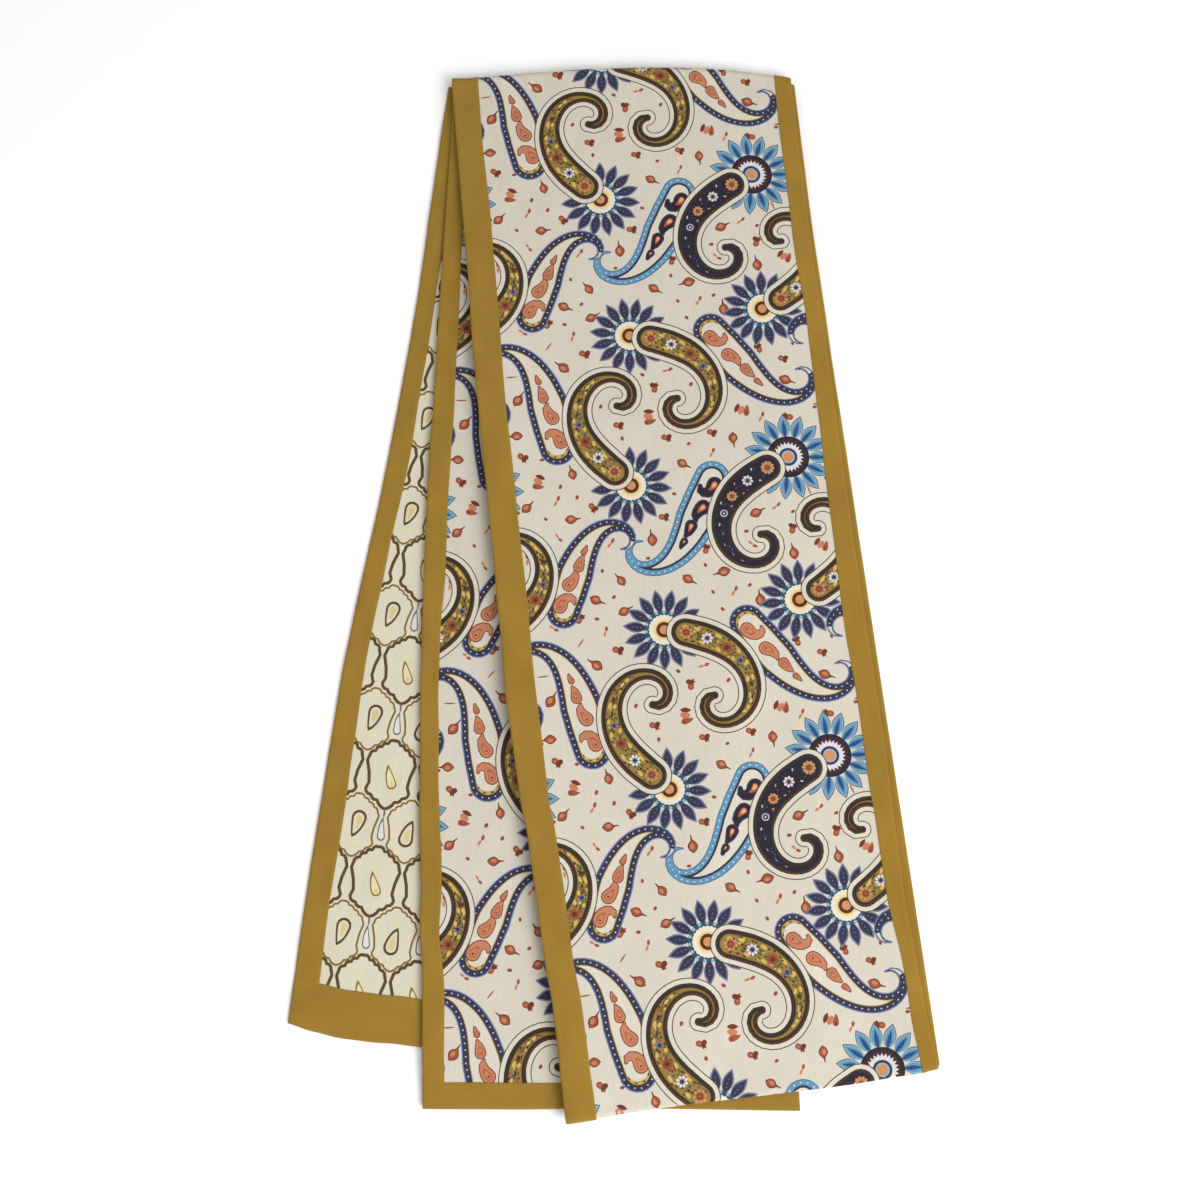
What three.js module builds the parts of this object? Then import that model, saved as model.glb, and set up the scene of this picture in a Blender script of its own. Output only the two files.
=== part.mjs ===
// A long narrow printed scarf, folded in four and fanned out on a table. The strip is two cloths back to
// back, bound on all four edges. It runs from the hem of the back stretch up to the outer top fold, down
// the front stretch, round the bottom fold, up the turned-under stretch, over the inner top fold, and down
// the middle stretch to its own hem. Millimetres, +Z up, +Y towards the top folds, table at Z = 0.
import * as THREE from 'three';

// ---------------------------------------------------------------- driving dimensions
const WIDTH = 150;                // finished width of the strip
const WALL = 1.2;                 // both cloths of the strip together
const LAYER_GAP = 0.4;            // air between stretches that lie on each other
const SEAM_GAP = 0.3;             // clearance between two pieces sewn to each other
const TOP_MIDDLE = { x: 10, y: 228.8 };   // middle of the outer top fold, before the scarf is centred
const SLOPE_SHELF = 4;            // a stretch carries what lies on it this far past its own edges
const SLOPE_REACH = 26;           // beyond that, the upper stretch sinks to the next layer over this reach
const FOLD_ARCH = 8;              // the top folds bow up this much between the two bindings
const FOLD_ARCH_X = 22;           // where the bow is highest
const FOLD_ARCH_HALF = 86;        // half the width of the bow
const FOLD_ARCH_FADE = 110;       // the bow dies out this far below the folds
const HEM_SKEW = 3;               // degrees by which both hems are off square

// One row for each stretch, from the lowest layer up. Leans are degrees off straight down, positive to
// the right, at the top, the middle and the lower end. left, right and hem are binding widths; a stretch
// whose left is 0 carries that hidden binding in its own solid.
const ROWS = {
  back: { length: 418, lean: [-6.2, -10.2, -6.4], left: 8, right: 8, hem: 18.5 },
  middle: { length: 432, lean: [-3.5, -1.4, 2.4], left: 7.5, right: 8, hem: 10 },
  under: { length: 428.5, lean: [5.4, 7.0, 7.0], left: 0, right: 8, hem: 0 },
  front: { length: 431.6, lean: [5.2, 6.4, 9.0], left: 11.5, right: 6.8, hem: 0 },
};
const COLUMNS = 11;               // facets across a panel
const LONG_ROWS = 22;             // facets down the upper part of a stretch
const CLOSE_ROWS = 8;             // and down its lower part, where the layers beneath come to an end
const CLOSE_SHARE = 0.17;         // share of the length that the lower part takes
const FOLD_STEPS = 6;             // facets round a fold

const FINISHES = {
  face: { color: 0xe2dbcd, roughness: 0.8, metalness: 0 },
  reverse: { color: 0xe6e3d2, roughness: 0.8, metalness: 0 },
  binding: { color: 0x9e7c30, roughness: 0.85, metalness: 0 },
};

// ---------------------------------------------------------------- one stretch in plan
const STEP = WALL + LAYER_GAP;
const HALF = WIDTH / 2;
const radians = THREE.MathUtils.degToRad;

// Straight down is a heading of 0. Each half of a centre line is one arc, along which the heading turns evenly.
function arcPoint(from, heading, turn, distance) {
  if (Math.abs(turn) < 1e-9) {
    return {
      x: from.x + Math.sin(heading) * distance,
      y: from.y - Math.cos(heading) * distance,
    };
  }
  const end = heading + turn * distance;
  return {
    x: from.x + (Math.cos(heading) - Math.cos(end)) / turn,
    y: from.y + (Math.sin(heading) - Math.sin(end)) / turn,
  };
}

class Stretch {
  constructor(row) {
    this.row = row;
    this.half = row.length / 2;
    this.headings = row.lean.map(radians);
    this.turns = [0, 1].map((i) => (this.headings[i + 1] - this.headings[i]) / this.half);
    this.place({ x: 0, y: 0 });
    this.topSlope = 0;
    this.endSlope = this.headings[2] - radians(HEM_SKEW);
  }

  place(top) {
    this.top = top;
    this.middle = arcPoint(top, this.headings[0], this.turns[0], this.half);
  }

  heading(s) {
    return s < this.half
      ? this.headings[0] + this.turns[0] * s
      : this.headings[1] + this.turns[1] * (s - this.half);
  }

  centre(s) {
    return s < this.half
      ? arcPoint(this.top, this.headings[0], this.turns[0], s)
      : arcPoint(this.middle, this.headings[1], this.turns[1], s - this.half);
  }

  // The plan point at u across the strip, from its left edge, and s down from the middle of its top fold.
  at(u, s) {
    const c = this.centre(s);
    const h = this.heading(s);
    return { x: c.x + (u - HALF) * Math.cos(h), y: c.y + (u - HALF) * Math.sin(h) };
  }

  // The reverse of at(), found by stepping along the centre line.
  locate(x, y) {
    let s = this.top.y - y;
    for (let i = 0; i < 4; i += 1) {
      const c = this.centre(s);
      const h = this.heading(s);
      s += (x - c.x) * Math.sin(h) - (y - c.y) * Math.cos(h);
    }
    const c = this.centre(s);
    const h = this.heading(s);
    return { u: HALF + (x - c.x) * Math.cos(h) + (y - c.y) * Math.sin(h), s };
  }

  // Where the fold line, or the hem, crosses the strip at u.
  start(u) {
    return (u - HALF) * Math.tan(this.headings[0] - this.topSlope);
  }

  end(u) {
    return this.row.length + (u - HALF) * Math.tan(this.headings[2] - this.endSlope);
  }

  // 1 over this stretch and just past its edges, falling smoothly to 0 beyond them.
  cover(x, y) {
    const { u, s } = this.locate(x, y);
    const outside = Math.max(Math.abs(u - HALF) - HALF, s - this.end(u), this.start(u) - s);
    return 1 - THREE.MathUtils.smoothstep(outside, SLOPE_SHELF, SLOPE_SHELF + SLOPE_REACH);
  }
}

const stretches = Object.fromEntries(
  Object.entries(ROWS).map(([name, row]) => [name, new Stretch(row)]),
);
const { back, middle, under, front } = stretches;
const LAYERS = [back, middle, under, front];

// A flat fold mirrors the strip in the fold line, so the line's slope is the mean of the two leans.
function joinAtTop(upper, lower) {
  const slope = (upper.headings[0] + lower.headings[0]) / 2;
  upper.topSlope = slope;
  lower.topSlope = slope;
}

function placeStretches() {
  front.place(TOP_MIDDLE);
  back.place(TOP_MIDDLE);
  joinAtTop(front, back);
  const slope = (front.headings[2] + under.headings[2]) / 2;
  front.endSlope = slope;
  under.endSlope = slope;
  const bottom = front.centre(front.row.length);
  const drop = under.centre(under.row.length);
  under.place({ x: bottom.x - drop.x, y: bottom.y - drop.y });
  middle.place(under.top);
  joinAtTop(under, middle);
}

// The underside of a stretch lies on whatever layers are beneath it at that place.
function underside(stretch, x, y) {
  const beneath = LAYERS.slice(0, LAYERS.indexOf(stretch));
  return STEP * beneath.reduce((sum, layer) => sum + layer.cover(x, y), 0);
}

// The bow of the top folds moves all the layers together.
function bowed(x, y) {
  const across = 1 - ((x - FOLD_ARCH_X) / FOLD_ARCH_HALF) ** 2;
  const along = THREE.MathUtils.smoothstep(y, TOP_MIDDLE.y - FOLD_ARCH_FADE, TOP_MIDDLE.y);
  return y + FOLD_ARCH * Math.max(across, 0) * along;
}

const vertex = (x, y, z) => new THREE.Vector3(x, bowed(x, y), z);

// ---------------------------------------------------------------- rings of a wall: outer and inner point at u
function flatRing(stretch, place) {
  return (u) => {
    const { x, y } = stretch.at(u, place(u));
    const z = underside(stretch, x, y);
    return [vertex(x, y, z + WALL), vertex(x, y, z)];
  };
}

// A fold is a half round between the two stretches it joins. Its angle is -90 on the lower one and 90 on
// the upper one, and out is 1 for a fold at the top and -1 for the one at the bottom.
function foldRing(upper, lower, slope, edge, out, angle) {
  return (u) => {
    const { x, y } = upper.at(u, edge(u));
    const high = underside(upper, x, y) + WALL / 2;
    const low = underside(lower, x, y) + WALL / 2;
    const radius = (high - low) / 2;
    return [WALL / 2, -WALL / 2].map((offset) => {
      const reach = (radius + offset) * Math.cos(angle) * out;
      const z = (high + low) / 2 + (radius + offset) * Math.sin(angle);
      return vertex(x - Math.sin(slope) * reach, y + Math.cos(slope) * reach, z);
    });
  };
}

function topFoldRings(upper, lower) {
  return Array.from({ length: FOLD_STEPS }, (_, i) => {
    const angle = -Math.PI / 2 + (Math.PI * i) / FOLD_STEPS;
    return foldRing(upper, lower, upper.topSlope, (u) => upper.start(u), 1, angle);
  });
}

function bottomFoldRings(upper, lower) {
  return Array.from({ length: FOLD_STEPS }, (_, i) => {
    const angle = Math.PI / 2 - (Math.PI * (i + 1)) / FOLD_STEPS;
    return foldRing(upper, lower, upper.endSlope, (u) => upper.end(u), -1, angle);
  });
}

// Shares of the length at which a stretch has a row of facets.
const SHARES = [
  ...Array.from({ length: LONG_ROWS }, (_, i) => ((1 - CLOSE_SHARE) * i) / LONG_ROWS),
  ...Array.from({ length: CLOSE_ROWS + 1 }, (_, i) => 1 - CLOSE_SHARE * (1 - i / CLOSE_ROWS)),
];

// Rings down a stretch, leaving trimTop and trimEnd free at its two ends.
function flatRings(stretch, trimTop, trimEnd) {
  return SHARES.map((share) =>
    flatRing(stretch, (u) => {
      const from = stretch.start(u) + trimTop;
      const to = stretch.end(u) - trimEnd;
      return from + (to - from) * share;
    }),
  );
}

// The rings that the panel and the long bindings of a stretch share.
function ringsOf(name) {
  const stretch = stretches[name];
  if (name === 'front') {
    return [
      ...topFoldRings(front, back),
      ...flatRings(front, 0, 0),
      ...bottomFoldRings(front, under),
    ];
  }
  if (name === 'under') {
    return [...topFoldRings(under, middle), ...flatRings(under, 0, SEAM_GAP)];
  }
  return flatRings(stretch, SEAM_GAP, stretch.row.hem + SEAM_GAP);
}

function hemRings(stretch) {
  const { hem } = stretch.row;
  return [hem, 0].map((up) => flatRing(stretch, (u) => stretch.end(u) - up));
}

// ---------------------------------------------------------------- closed walls
// Rings run down the strip. Each is an outer and an inner row of points from uFrom to uTo.
function wall(rings, uFrom, uTo, columns) {
  const points = [];
  const faces = [];
  const count = columns + 1;
  rings.forEach((ring) => {
    const pairs = Array.from({ length: count }, (_, i) => ring(uFrom + ((uTo - uFrom) * i) / columns));
    [0, 1].forEach((side) => pairs.forEach((pair) => points.push(pair[side])));
  });
  const index = (ring, side, column) => (ring * 2 + side) * count + column;
  const quad = (a, b, c, d) => faces.push(a, b, c, a, c, d);
  const last = rings.length - 1;
  for (let r = 0; r < last; r += 1) {
    for (let c = 0; c < columns; c += 1) {
      quad(index(r, 0, c), index(r + 1, 0, c), index(r + 1, 0, c + 1), index(r, 0, c + 1));
      quad(index(r, 1, c), index(r, 1, c + 1), index(r + 1, 1, c + 1), index(r + 1, 1, c));
    }
    quad(index(r, 0, 0), index(r, 1, 0), index(r + 1, 1, 0), index(r + 1, 0, 0));
    quad(index(r, 0, columns), index(r + 1, 0, columns), index(r + 1, 1, columns), index(r, 1, columns));
  }
  for (let c = 0; c < columns; c += 1) {
    quad(index(0, 0, c), index(0, 0, c + 1), index(0, 1, c + 1), index(0, 1, c));
    quad(index(last, 0, c), index(last, 1, c), index(last, 1, c + 1), index(last, 0, c + 1));
  }
  const geometry = new THREE.BufferGeometry().setFromPoints(points);
  geometry.setIndex(faces);
  geometry.computeVertexNormals();
  return geometry;
}

const scarf = new THREE.Group();

function addPiece(name, finish, geometry) {
  const mesh = new THREE.Mesh(geometry, new THREE.MeshStandardMaterial(FINISHES[finish]));
  mesh.name = name;
  scarf.add(mesh);
}

function addStretch(name, label, panelName, finish) {
  const stretch = stretches[name];
  const { left, right, hem } = stretch.row;
  const rings = ringsOf(name);
  const panelFrom = left ? left + SEAM_GAP : 0;
  addPiece(panelName, finish, wall(rings, panelFrom, WIDTH - right - SEAM_GAP, COLUMNS));
  if (left) addPiece(`${label}_left_binding`, 'binding', wall(rings, 0, left, 1));
  addPiece(`${label}_right_binding`, 'binding', wall(rings, WIDTH - right, WIDTH, 1));
  if (hem) addPiece(`${label}_end_binding`, 'binding', wall(hemRings(stretch), 0, WIDTH, COLUMNS));
}

// The scarf's origin is the middle of its box, on the table.
function centre(group) {
  const box = new THREE.Box3().setFromObject(group);
  const middleOfBox = box.getCenter(new THREE.Vector3());
  group.children.forEach((mesh) => mesh.geometry.translate(-middleOfBox.x, -middleOfBox.y, -box.min.z));
}

placeStretches();
addStretch('front', 'front', 'front_panel', 'face');
addStretch('under', 'turned_under', 'turned_under', 'reverse');
addStretch('middle', 'middle', 'middle_panel', 'face');
addStretch('back', 'back', 'back_panel', 'reverse');
centre(scarf);

export default scarf;
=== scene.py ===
"""A long narrow printed scarf, folded in four and fanned out on a pale table.

The strip is two printed cloths back to back, bound in mustard on all four edges. Each stretch of it is one
closed shell whose two faces are cut along every outline of the print, so the print stays sharp at any size.
Lengths are millimetres in the frame of the CAD source, and become metres in to_metres().
"""

import math

import bmesh
import bpy
import numpy as np
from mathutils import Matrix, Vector
from mathutils.geometry import delaunay_2d_cdt, tessellate_polygon


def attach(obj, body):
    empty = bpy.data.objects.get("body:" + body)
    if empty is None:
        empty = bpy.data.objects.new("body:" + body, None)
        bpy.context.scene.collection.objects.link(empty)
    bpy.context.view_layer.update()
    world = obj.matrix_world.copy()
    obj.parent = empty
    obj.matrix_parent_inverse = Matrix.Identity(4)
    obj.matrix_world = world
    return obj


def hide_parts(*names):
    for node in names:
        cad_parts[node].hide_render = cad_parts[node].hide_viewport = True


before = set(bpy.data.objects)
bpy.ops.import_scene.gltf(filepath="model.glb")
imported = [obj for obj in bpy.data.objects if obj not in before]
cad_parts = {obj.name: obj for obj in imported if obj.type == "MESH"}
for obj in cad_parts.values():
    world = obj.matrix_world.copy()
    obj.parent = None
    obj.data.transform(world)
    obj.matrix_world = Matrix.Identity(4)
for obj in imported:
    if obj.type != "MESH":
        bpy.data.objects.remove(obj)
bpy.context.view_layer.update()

# ------------------------------------------------ driving dimensions, most of them the CAD's own
WIDTH = 150.0
HALF = WIDTH / 2
WALL = 1.2
STEP = 1.6
TOP_MIDDLE = (10.0, 228.8)
SCARF_CENTRE = (5.5713, 14.0904)
SLOPE_SHELF, SLOPE_REACH = 4.0, 26.0
FOLD_ARCH, FOLD_ARCH_X, FOLD_ARCH_FADE = 6.3, 34.0, 110.0
FOLD_ARCH_LEFT, FOLD_ARCH_RIGHT = 92.0, 57.0
LOWER_FOLD_TURN = 1.15             # degrees that the lower fold of the front lies off square
HEM_SKEW = 3.0
OUTER_RADIUS = 1.5 * STEP          # middle of the cloth round the outer top fold
INNER_RADIUS = 0.5 * STEP          # and round the two folds inside it
ROUND_OUTER = math.pi * OUTER_RADIUS
ROUND_INNER = math.pi * INNER_RADIUS

# ------------------------------------------------ the cloth as it is sewn
SHELL = 0.3                        # half the thickness of the two cloths where no binding lies on them
TUCK = 1.5                         # the cloth reaches to this far from the folded edge, under the binding
GRID = 4.2                         # spacing of the plain facets between the motifs
HIDDEN_GRID = 7.0                  # and on a face that no view can see
RIPPLE = 0.16                      # how much the cloth rises and falls in each layer
RUMPLE = 0.16                      # and in the small soft creases that all the layers share
EDGE_REACH = 21.0                  # a raised left edge comes down again over about this far
EDGE_LIFT_STARTS = 120.0           # and it lies flat near its top fold, down to here


# ================================================================ the strip
def smoothstep(x, low, high):
    t = np.clip((x - low) / (high - low), 0.0, 1.0)
    return t * t * (3 - 2 * t)


def eased(s, rows):
    """A value that eases from row to row. Each row is a place down the strip and the value there."""
    places, values = np.array(rows).T
    k = np.clip(np.searchsorted(places, s) - 1, 0, len(places) - 2)
    share = smoothstep(s, places[k], places[k + 1])
    return values[k] + share * (values[k + 1] - values[k])


def arc_point(start, heading, turn_rate, distance):
    """A point that far down an arc. A heading of 0 is straight down, and positive leans right."""
    end = heading + turn_rate * distance
    x = start[0] + (math.cos(heading) - np.cos(end)) / turn_rate
    y = start[1] + (math.sin(heading) - np.sin(end)) / turn_rate
    return x, y


class Stretch:
    """A flat run of the strip. u goes across it from its left edge, and s down it from its top fold."""

    def __init__(self, length, leans):
        self.length = length
        self.half = length / 2
        self.headings = np.radians(leans)
        self.turns = np.diff(self.headings) / self.half
        self.turns[np.abs(self.turns) < 1e-9] = 1e-9
        self.place((0.0, 0.0))
        self.top_slope = 0.0
        self.end_slope = self.headings[2] - math.radians(HEM_SKEW)
        self.top_fold = None
        self.end_fold = None
        self.left_edge = self.right_edge = ((0, 0), (length, 0))
        self.sag = ((0, 0), (WIDTH, 0))
        self.edge_lift = 0.0

    def place(self, top):
        self.top = top
        self.middle = arc_point(top, self.headings[0], self.turns[0], self.half)

    def heading(self, s):
        upper = self.headings[0] + self.turns[0] * s
        lower = self.headings[1] + self.turns[1] * (s - self.half)
        return np.where(s < self.half, upper, lower)

    def centre(self, s):
        upper = arc_point(self.top, self.headings[0], self.turns[0], s)
        lower = arc_point(self.middle, self.headings[1], self.turns[1], s - self.half)
        return np.where(s < self.half, upper[0], lower[0]), np.where(s < self.half, upper[1], lower[1])

    def wander(self, u, s):
        """How far the cloth lies sideways of straight, where its edges run a little uneven."""
        share = np.clip(u / WIDTH, 0, 1)
        return (1 - share) * eased(s, self.left_edge) + share * eased(s, self.right_edge)

    def at(self, u, s):
        x, y = self.centre(s)
        h = self.heading(s)
        across = u - HALF + self.wander(u, s)
        return x + across * np.cos(h), y + across * np.sin(h)

    def locate(self, x, y):
        """The reverse of at(), found by stepping along the centre line."""
        s = self.top[1] - y
        for _ in range(4):
            cx, cy = self.centre(s)
            h = self.heading(s)
            s = s + (x - cx) * np.sin(h) - (y - cy) * np.cos(h)
        cx, cy = self.centre(s)
        h = self.heading(s)
        return HALF + (x - cx) * np.cos(h) + (y - cy) * np.sin(h), s

    def start(self, u):
        return (u - HALF) * math.tan(self.headings[0] - self.top_slope)

    def end(self, u):
        return self.length + (u - HALF) * math.tan(self.headings[2] - self.end_slope) + eased(u, self.sag)

    def cover(self, x, y):
        """1 over this stretch and just past its edges, falling smoothly to 0 beyond them."""
        u, s = self.locate(x, y)
        outside = np.maximum(np.abs(u - HALF) - HALF, np.maximum(s - self.end(u), self.start(u) - s))
        return 1 - smoothstep(outside, SLOPE_SHELF, SLOPE_SHELF + SLOPE_REACH)


back = Stretch(418.0, (-6.2, -10.2, -6.4))
middle = Stretch(432.0, (-3.5, -1.4, 2.4))
under = Stretch(428.9, (5.4, 7.0, 7.0))
front = Stretch(432.0, (5.2, 6.4, 9.0))
LAYERS = (back, middle, under, front)
# Where each edge lies to the right of straight: (place down the stretch, how far).
front.left_edge = (
    (0, 0.6), (80, 0.5), (115, -0.3), (200, -0.4), (240, -0.8), (262, -1.5), (285, -0.9), (305, -0.6),
    (320, 0.6), (372, 0.8), (386, 1.5), (402, 1.2), (416, 0.5), (430, 0),
)
front.right_edge = (
    (0, -1.9), (85, -1.7), (110, -0.8), (150, -0.2), (220, 0), (300, 0.3), (325, -0.7), (345, -1.3),
    (367, -2.1), (383, -1.8), (395, -1.8), (412, -1.7), (432, -0.8),
)
middle.left_edge = (
    (0, 0), (145, 0), (165, -0.7), (220, -0.6), (265, -0.4), (285, 0.1), (320, 0.3), (333, 0.8),
    (346, 1.1), (360, 0.6), (378, 1.5), (432, 0.8),
)
middle.right_edge = ((0, -1.6), (60, -1.5), (110, 0), (432, 0))
under.right_edge = ((0, -1.6), (60, -1.5), (120, -0.6), (180, 0), (429, 0))
back.left_edge = (
    (0, -1.2), (30, -1.5), (70, -1.3), (92, -0.8), (110, -0.5), (205, -0.4), (225, -0.8), (250, -1.3),
    (275, -1.7), (300, -1.3), (330, -0.9), (418, -0.5),
)

# How far each lower end hangs below a straight one: (place across the strip, how far).
back.sag = ((0, 0.6), (10, 2.0), (21, 2.8), (32, 2.4), (46, 1.3), (64, 0.4), (80, 0), (WIDTH, 0))
middle.sag = ((0, 1.2), (35, 1.0), (60, 0.5), (90, 0), (WIDTH, 0.4))
front.sag = under.sag = ((0, 0.3), (40, 0), (110, 0.2), (138, -0.7), (WIDTH, -1.9))
middle.edge_lift = 0.7
front.edge_lift = 2.6


def join_at_top(upper, lower):
    slope = (upper.headings[0] + lower.headings[0]) / 2
    upper.top_slope = slope
    lower.top_slope = slope


def lay_out():
    front.place(TOP_MIDDLE)
    back.place(TOP_MIDDLE)
    join_at_top(front, back)
    slope = (front.headings[2] + under.headings[2]) / 2 - math.radians(LOWER_FOLD_TURN)
    front.end_slope = slope
    under.end_slope = slope
    bottom = front.centre(front.length)
    drop = under.centre(under.length)
    under.place((float(bottom[0] - drop[0]), float(bottom[1] - drop[1])))
    middle.place(under.top)
    join_at_top(under, middle)
    front.top_fold = (back, OUTER_RADIUS)
    front.end_fold = (under, INNER_RADIUS)
    under.top_fold = (middle, INNER_RADIUS)


lay_out()


def fold_length(fold):
    """Length of cloth that goes round a fold, or 0 where there is none."""
    return math.pi * fold[1] if fold else 0.0


def bow(x, y):
    """The top folds bow up a little between the two bindings, all layers together."""
    reach = np.where(x < FOLD_ARCH_X, FOLD_ARCH_LEFT, FOLD_ARCH_RIGHT)
    across = 1 - ((x - FOLD_ARCH_X) / reach) ** 2
    return FOLD_ARCH * np.maximum(across, 0) * smoothstep(y, TOP_MIDDLE[1] - FOLD_ARCH_FADE, TOP_MIDDLE[1])


def ripple(level, x, y):
    """Height that the cloth stands proud of dead flat. It grows from layer to layer, so that none meet."""
    broad = np.sin(x / 31 + y / 57 + 0.6) + np.sin(y / 41 - x / 66 + 2.1) + np.sin(x / 19 - y / 83 + 4.0)
    own = np.sin(x / (23 + 3 * level) + y / (37 - 2 * level) + 1.7 * level)
    return RIPPLE * ((level + 1) * (0.5 + broad / 6) + 0.5 * (1 + own))


def rumple(x, y):
    small = np.sin(x / 3.1 + 1.9 * np.sin(y / 23) + 0.7) * np.sin(y / 4.3 + 1.6 * np.sin(x / 17 + 1))
    slant = np.sin((x + 1.7 * y) / 6.4 + 1.3 * np.sin((x - y) / 29))
    cross = np.sin((1.4 * x - y) / 7.9 + 1.7 * np.sin((x + y) / 37) + 2)
    return RUMPLE * (1.3 + 0.6 * small + 0.5 * slant + 0.4 * cross)


def raised(layer, x, y):
    """How far the layer's left edge stands up. Whatever lies over that edge stands up with it."""
    u, s = layer.locate(x, y)
    return layer.edge_lift * np.exp(-((u / EDGE_REACH) ** 2)) * smoothstep(s, 15, EDGE_LIFT_STARTS)


def middle_height(stretch, x, y):
    """Height of the middle of the cloth, which lies on whatever layers are beneath it there."""
    level = LAYERS.index(stretch)
    covers = sum((layer.cover(x, y) for layer in LAYERS[:level]), np.zeros_like(x))
    lifts = sum((raised(layer, x, y) for layer in LAYERS[:level + 1] if layer.edge_lift), np.zeros_like(x))
    return WALL / 2 + STEP * covers + ripple(level, x, y) + rumple(x, y) + lifts


def place(stretch, u, s, offset):
    """Points of the strip at a height offset above the middle of the cloth, round its folds as well."""
    u, s, offset = np.broadcast_arrays(*(np.asarray(value, float) for value in (u, s, offset)))
    flat = np.clip(s, stretch.start(u), stretch.end(u))
    x, y = stretch.at(u, flat)
    high = middle_height(stretch, x, y)
    z = high + offset
    for fold, past, slope, out in (
        (stretch.top_fold, flat - s, stretch.top_slope, 1),
        (stretch.end_fold, s - flat, stretch.end_slope, -1),
    ):
        if fold is None:
            continue
        lower, nominal = fold
        low = middle_height(lower, x, y)
        radius = (high - low) / 2
        angle = math.pi / 2 - past / nominal
        reach = (radius + offset) * np.cos(angle) * out
        turned = past > 0
        z = np.where(turned, (high + low) / 2 + (radius + offset) * np.sin(angle), z)
        x = np.where(turned, x - math.sin(slope) * reach, x)
        y = np.where(turned, y + math.cos(slope) * reach, y)
    return x, y + bow(x, y), z


def to_metres(points):
    x, y, z = points
    return np.stack([x - SCARF_CENTRE[0], y - SCARF_CENTRE[1], z], axis=-1) / 1000


def surface_normals(stretch, u, s, offset, side):
    """Unit normals of the cloth's face, or of its reverse where side is -1."""
    def point(u, s):
        return to_metres(place(stretch, u, s, offset))

    reach = 0.25
    across = point(u + reach, s) - point(u - reach, s)
    along = point(u, s + reach) - point(u, s - reach)
    normals = np.cross(along, across) * side
    return normals / np.linalg.norm(normals, axis=-1, keepdims=True)


# ================================================================ the face print: paisleys
REPEAT = 128.0                     # the print repeats after this many millimetres down
ACROSS_REPEAT = (130.3, -2.0)      # and after this step (across, down)

PAINT = {
    "cloth": (221, 212, 196),
    "cream": (224, 216, 200),
    "line": (88, 72, 54),
    "rope": (58, 46, 34),
    "rope_up": (40, 48, 42),
    "rope_down": (112, 60, 38),
    "seam": (52, 34, 20),
    "gold": (154, 126, 62),
    "gold_light": (216, 184, 96),
    "gold_dark": (118, 90, 44),
    "olive": (104, 100, 52),
    "green": (70, 84, 60),
    "umber": (74, 50, 28),
    "navy": (50, 49, 75),
    "ink": (37, 32, 45),
    "navy_soft": (72, 74, 122),
    "lavender_dot": (112, 114, 158),
    "gold_band": (182, 156, 82),
    "lavender": (134, 134, 166),
    "slate_blue": (116, 122, 150),
    "haze": (108, 126, 168),
    "white": (226, 222, 220),
    "pearl": (204, 200, 212),
    "sky": (98, 152, 185),
    "sky_light": (136, 184, 210),
    "sky_edge": (60, 98, 138),
    "azure": (38, 82, 132),
    "teal": (46, 84, 104),
    "bead": (146, 190, 212),
    "slate": (98, 94, 96),
    "disc": (240, 229, 205),
    "disc_inner": (236, 212, 138),
    "ring": (84, 38, 22),
    "salmon": (200, 132, 97),
    "salmon_dark": (130, 66, 42),
    "salmon_core": (186, 92, 60),
    "orange": (212, 146, 92),
    "orange_light": (232, 178, 128),
    "rust": (160, 84, 54),
    "rust_dark": (116, 52, 30),
    "rust_light": (204, 128, 92),
    "plum": (96, 46, 52),
    "ivory": (229, 221, 197),
    "bark": (92, 72, 38),
    "olive_line": (138, 108, 50),
    "straw": (224, 208, 142),
    "straw_pale": (236, 226, 178),
    "straw_faint": (226, 217, 178),
    "violet_line": (112, 104, 122),
    "pinkish": (233, 226, 220),
}


class Chart:
    """Painted shapes, the later over the earlier. One that is not fine leaves out the smallest marks."""

    def __init__(self, fine=True):
        self.shapes = []
        self.fine = fine
        self.step = 2.1 if fine else 3.0

    def add(self, points, paint):
        points = np.asarray(points, float)
        x, y = points.T
        twice_area = np.sum(x * np.roll(y, -1) - np.roll(x, -1) * y)
        if twice_area < 0:
            points = points[::-1]
        if abs(twice_area) > 0.03:
            self.shapes.append((points, paint))


def turn(angle):
    """Unit vector; angles in degrees, 0 across the strip to the right and 90 down it."""
    a = np.radians(angle)
    return np.array([np.cos(a), np.sin(a)])


def oval(centre, along, across, angle=0.0, count=12):
    a = np.linspace(0, 2 * np.pi, count, endpoint=False)
    d, n = turn(angle), turn(angle + 90)
    return np.asarray(centre) + np.outer(along * np.cos(a), d) + np.outer(across * np.sin(a), n)


def disc(centre, radius, count=32):
    return oval(centre, radius, radius, 0, count)


def lens(base, tip, half, belly=0.45, steps=6, blunt=0.0):
    """A pointed leaf from base to tip, widest at the share belly of its length."""
    base, tip = np.asarray(base, float), np.asarray(tip, float)
    d = tip - base
    n = np.array([-d[1], d[0]]) / np.hypot(*d)
    t = np.linspace(0, 1, steps + 1)
    swelling = np.sin(np.pi / 2 * np.minimum(t / belly, 1)) ** 0.8
    narrowing = np.cos(np.pi / 2 * (t - belly) / (1 - belly))
    w = np.maximum(half * np.where(t < belly, swelling, narrowing), blunt)
    left = base + np.outer(t, d) + np.outer(w, n)
    right = base + np.outer(t, d) - np.outer(w, n)
    if blunt <= 0:
        return np.vstack([left, right[-2:0:-1]])
    return np.vstack([left, right[::-1]])


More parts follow.
